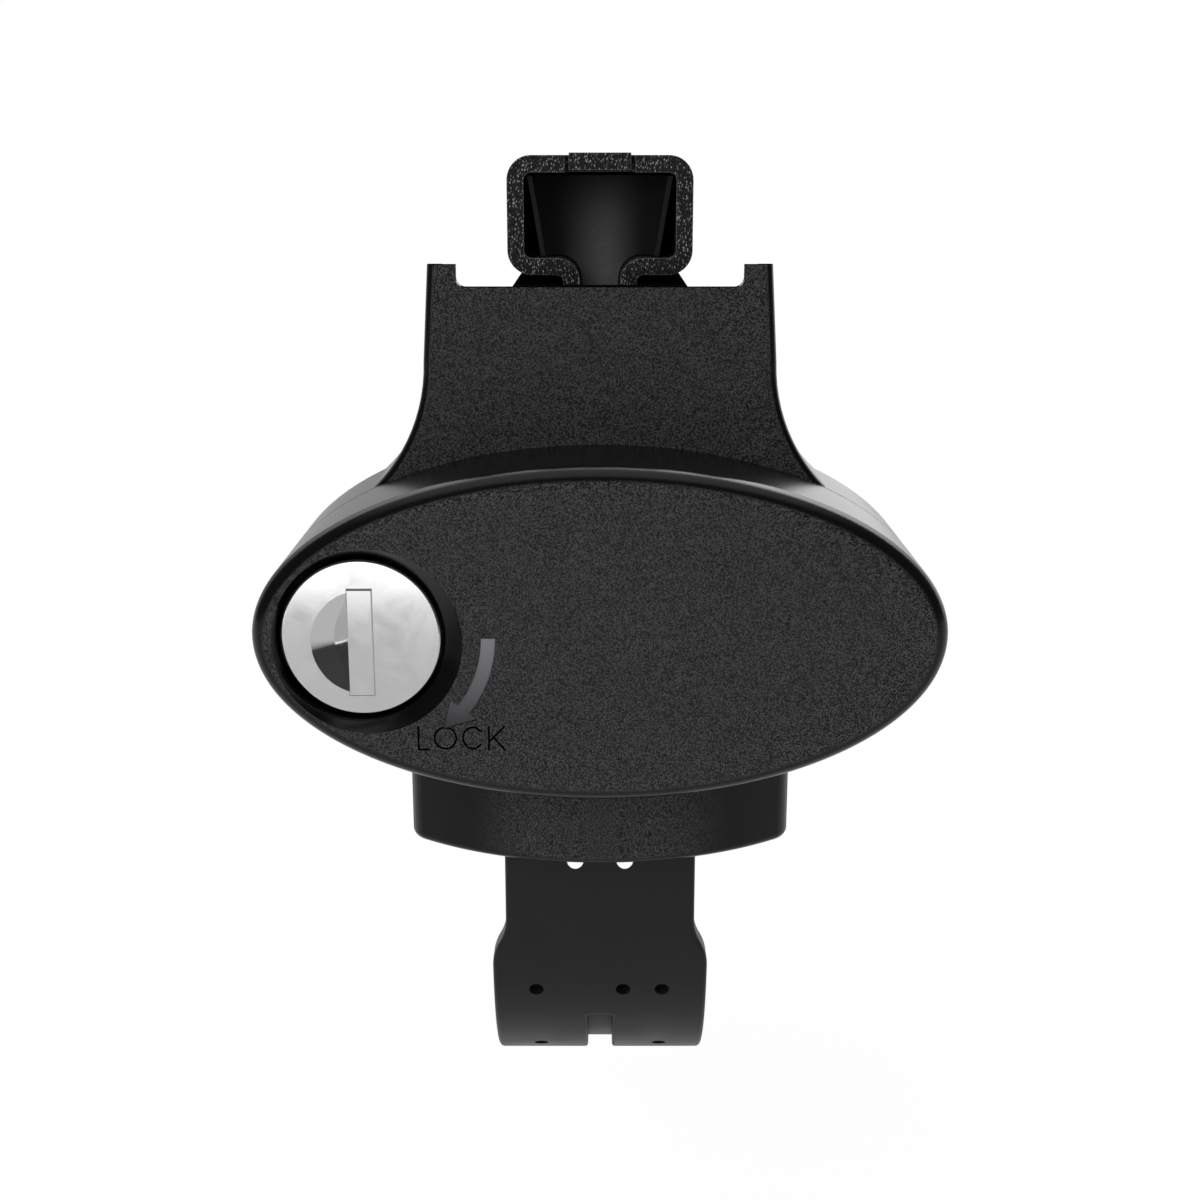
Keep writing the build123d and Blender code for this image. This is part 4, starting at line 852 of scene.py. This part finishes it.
        # Shiny pieces see a white wall behind the foot, brighter on the right and higher up, a dull ceiling
        # and a dark front.
        way = add_node(tree, "ShaderNodeTexCoord").outputs["Generated"]
        parts = add_node(tree, "ShaderNodeSeparateXYZ", {"Vector": way}).outputs
        side = add_node(
            tree, "ShaderNodeMapRange",
            {
                "Value": parts["X"], "From Min": WALL_SIDE_X[0], "From Max": WALL_SIDE_X[1],
                "To Min": studio.wall_left, "To Max": studio.wall_right,
            },
        ).outputs["Result"]
        behind = add_node(
            tree, "ShaderNodeMapRange",
            {"Value": parts["Y"], "From Min": WALL_START_Y[0], "From Max": WALL_START_Y[1]},
            interpolation_type="SMOOTHSTEP",
        ).outputs["Result"]
        upward = add_node(
            tree, "ShaderNodeMapRange",
            {
                "Value": parts["Z"], "From Min": WALL_RISE_Z[0], "From Max": WALL_RISE_Z[1],
                "To Min": 1.0, "To Max": WALL_TOP_GAIN,
            },
        ).outputs["Result"]
        lit_wall = add_node(
            tree, "ShaderNodeMath", {0: upward, 1: side}, operation="MULTIPLY",
        ).outputs["Value"]
        wall = add_node(
            tree, "ShaderNodeMath", {0: behind, 1: lit_wall}, operation="MULTIPLY",
        ).outputs["Value"]
        ceiling = add_node(
            tree, "ShaderNodeMapRange",
            {
                "Value": parts["Z"], "From Min": CEILING_Z[0], "From Max": CEILING_Z[1],
                "To Min": studio.dark_room, "To Max": studio.ceiling,
            },
        ).outputs["Result"]
        mirrored = add_node(
            tree, "ShaderNodeMath", {0: wall, 1: ceiling}, operation="MAXIMUM",
        ).outputs["Value"]
        level = add_node(
            tree, "ShaderNodeMapRange", {"Value": mirror, "To Min": studio.fill, "To Max": mirrored},
        ).outputs["Result"]
        lit = add_node(
            tree, "ShaderNodeBackground", {"Color": linear("#FFFFFF"), "Strength": level},
        ).outputs["Background"]
        white = add_node(
            tree, "ShaderNodeBackground", {"Color": linear("#FFFFFF"), "Strength": 1.0},
        ).outputs["Background"]
        mixed = add_node(
            tree, "ShaderNodeMixShader", {0: path["Is Camera Ray"], 1: lit, 2: white},
        ).outputs["Shader"]
        add_node(tree, "ShaderNodeOutputWorld", {"Surface": mixed})
        scene.world = world

    def make_lights(self, studio):
        """Soft lamps that only light: shiny pieces mirror the painted room in place of them."""
        lamps = (
            ("soft_top", (0.0, 0.05, 0.85), 0.9, studio.top_power),
            ("soft_left", (-0.75, -0.30, 0.30), 0.5, studio.side_power),
            ("soft_right", (0.75, -0.30, 0.30), 0.5, studio.side_power),
            ("soft_front", (-0.35, -0.95, 0.40), 0.7, studio.front_power),
        )
        aim = Vector((0.0, -0.03, 0.04))
        for name, place, size, power in lamps:
            light = bpy.data.lights.new(name, "AREA")
            light.shape = "SQUARE"
            light.size = size
            light.energy = power
            lamp = bpy.data.objects.new(name, light)
            lamp.location = place
            lamp.rotation_euler = (aim - Vector(place)).to_track_quat("-Z", "Y").to_euler()
            lamp.visible_glossy = False
            bpy.context.scene.collection.objects.link(lamp)

    def make_camera(self, scene, studio):
        """The photo's view: straight from the front, looking a little down."""
        optics = bpy.data.cameras.new("photo_camera")
        optics.lens = studio.lens
        optics.sensor_width = 36.0
        camera = bpy.data.objects.new("photo_camera", optics)
        camera.location = studio.eye
        camera.rotation_euler = (math.pi / 2 - studio.pitch, 0, 0)
        scene.collection.objects.link(camera)
        scene.camera = camera


class FOOT_PT_panel(bpy.types.Panel):
    """Lists the steps that dress the foot"""

    bl_idname = "FOOT_PT_panel"
    bl_label = "Roof bar foot"
    bl_space_type = "VIEW_3D"
    bl_region_type = "UI"
    bl_category = "Roof foot"

    def draw(self, context):
        for operator in OPERATORS:
            self.layout.operator(operator.bl_idname)


GROUPS = (("foot_finishes", FootFinishes), ("foot_arrow", FootArrow), ("foot_studio", FootStudio))
OPERATORS = (
    FOOT_OT_mouldings, FOOT_OT_arrow, FOOT_OT_latch, FOOT_OT_bar_head, FOOT_OT_hook, FOOT_OT_inner_steel,
    FOOT_OT_stage,
)


def register():
    for name, group in GROUPS:
        bpy.utils.register_class(group)
        setattr(bpy.types.Scene, name, bpy.props.PointerProperty(type=group))
    for operator in OPERATORS:
        bpy.utils.register_class(operator)
    bpy.utils.register_class(FOOT_PT_panel)


def unregister():
    bpy.utils.unregister_class(FOOT_PT_panel)
    for operator in reversed(OPERATORS):
        bpy.utils.unregister_class(operator)
    for name, group in reversed(GROUPS):
        delattr(bpy.types.Scene, name)
        bpy.utils.unregister_class(group)


def main():
    register()
    bpy.ops.foot.mouldings()
    bpy.ops.foot.arrow()
    bpy.ops.foot.latch()
    bpy.ops.foot.bar_head()
    bpy.ops.foot.hook()
    bpy.ops.foot.inner_steel()
    bpy.ops.foot.stage()


if __name__ == "__main__":
    main()
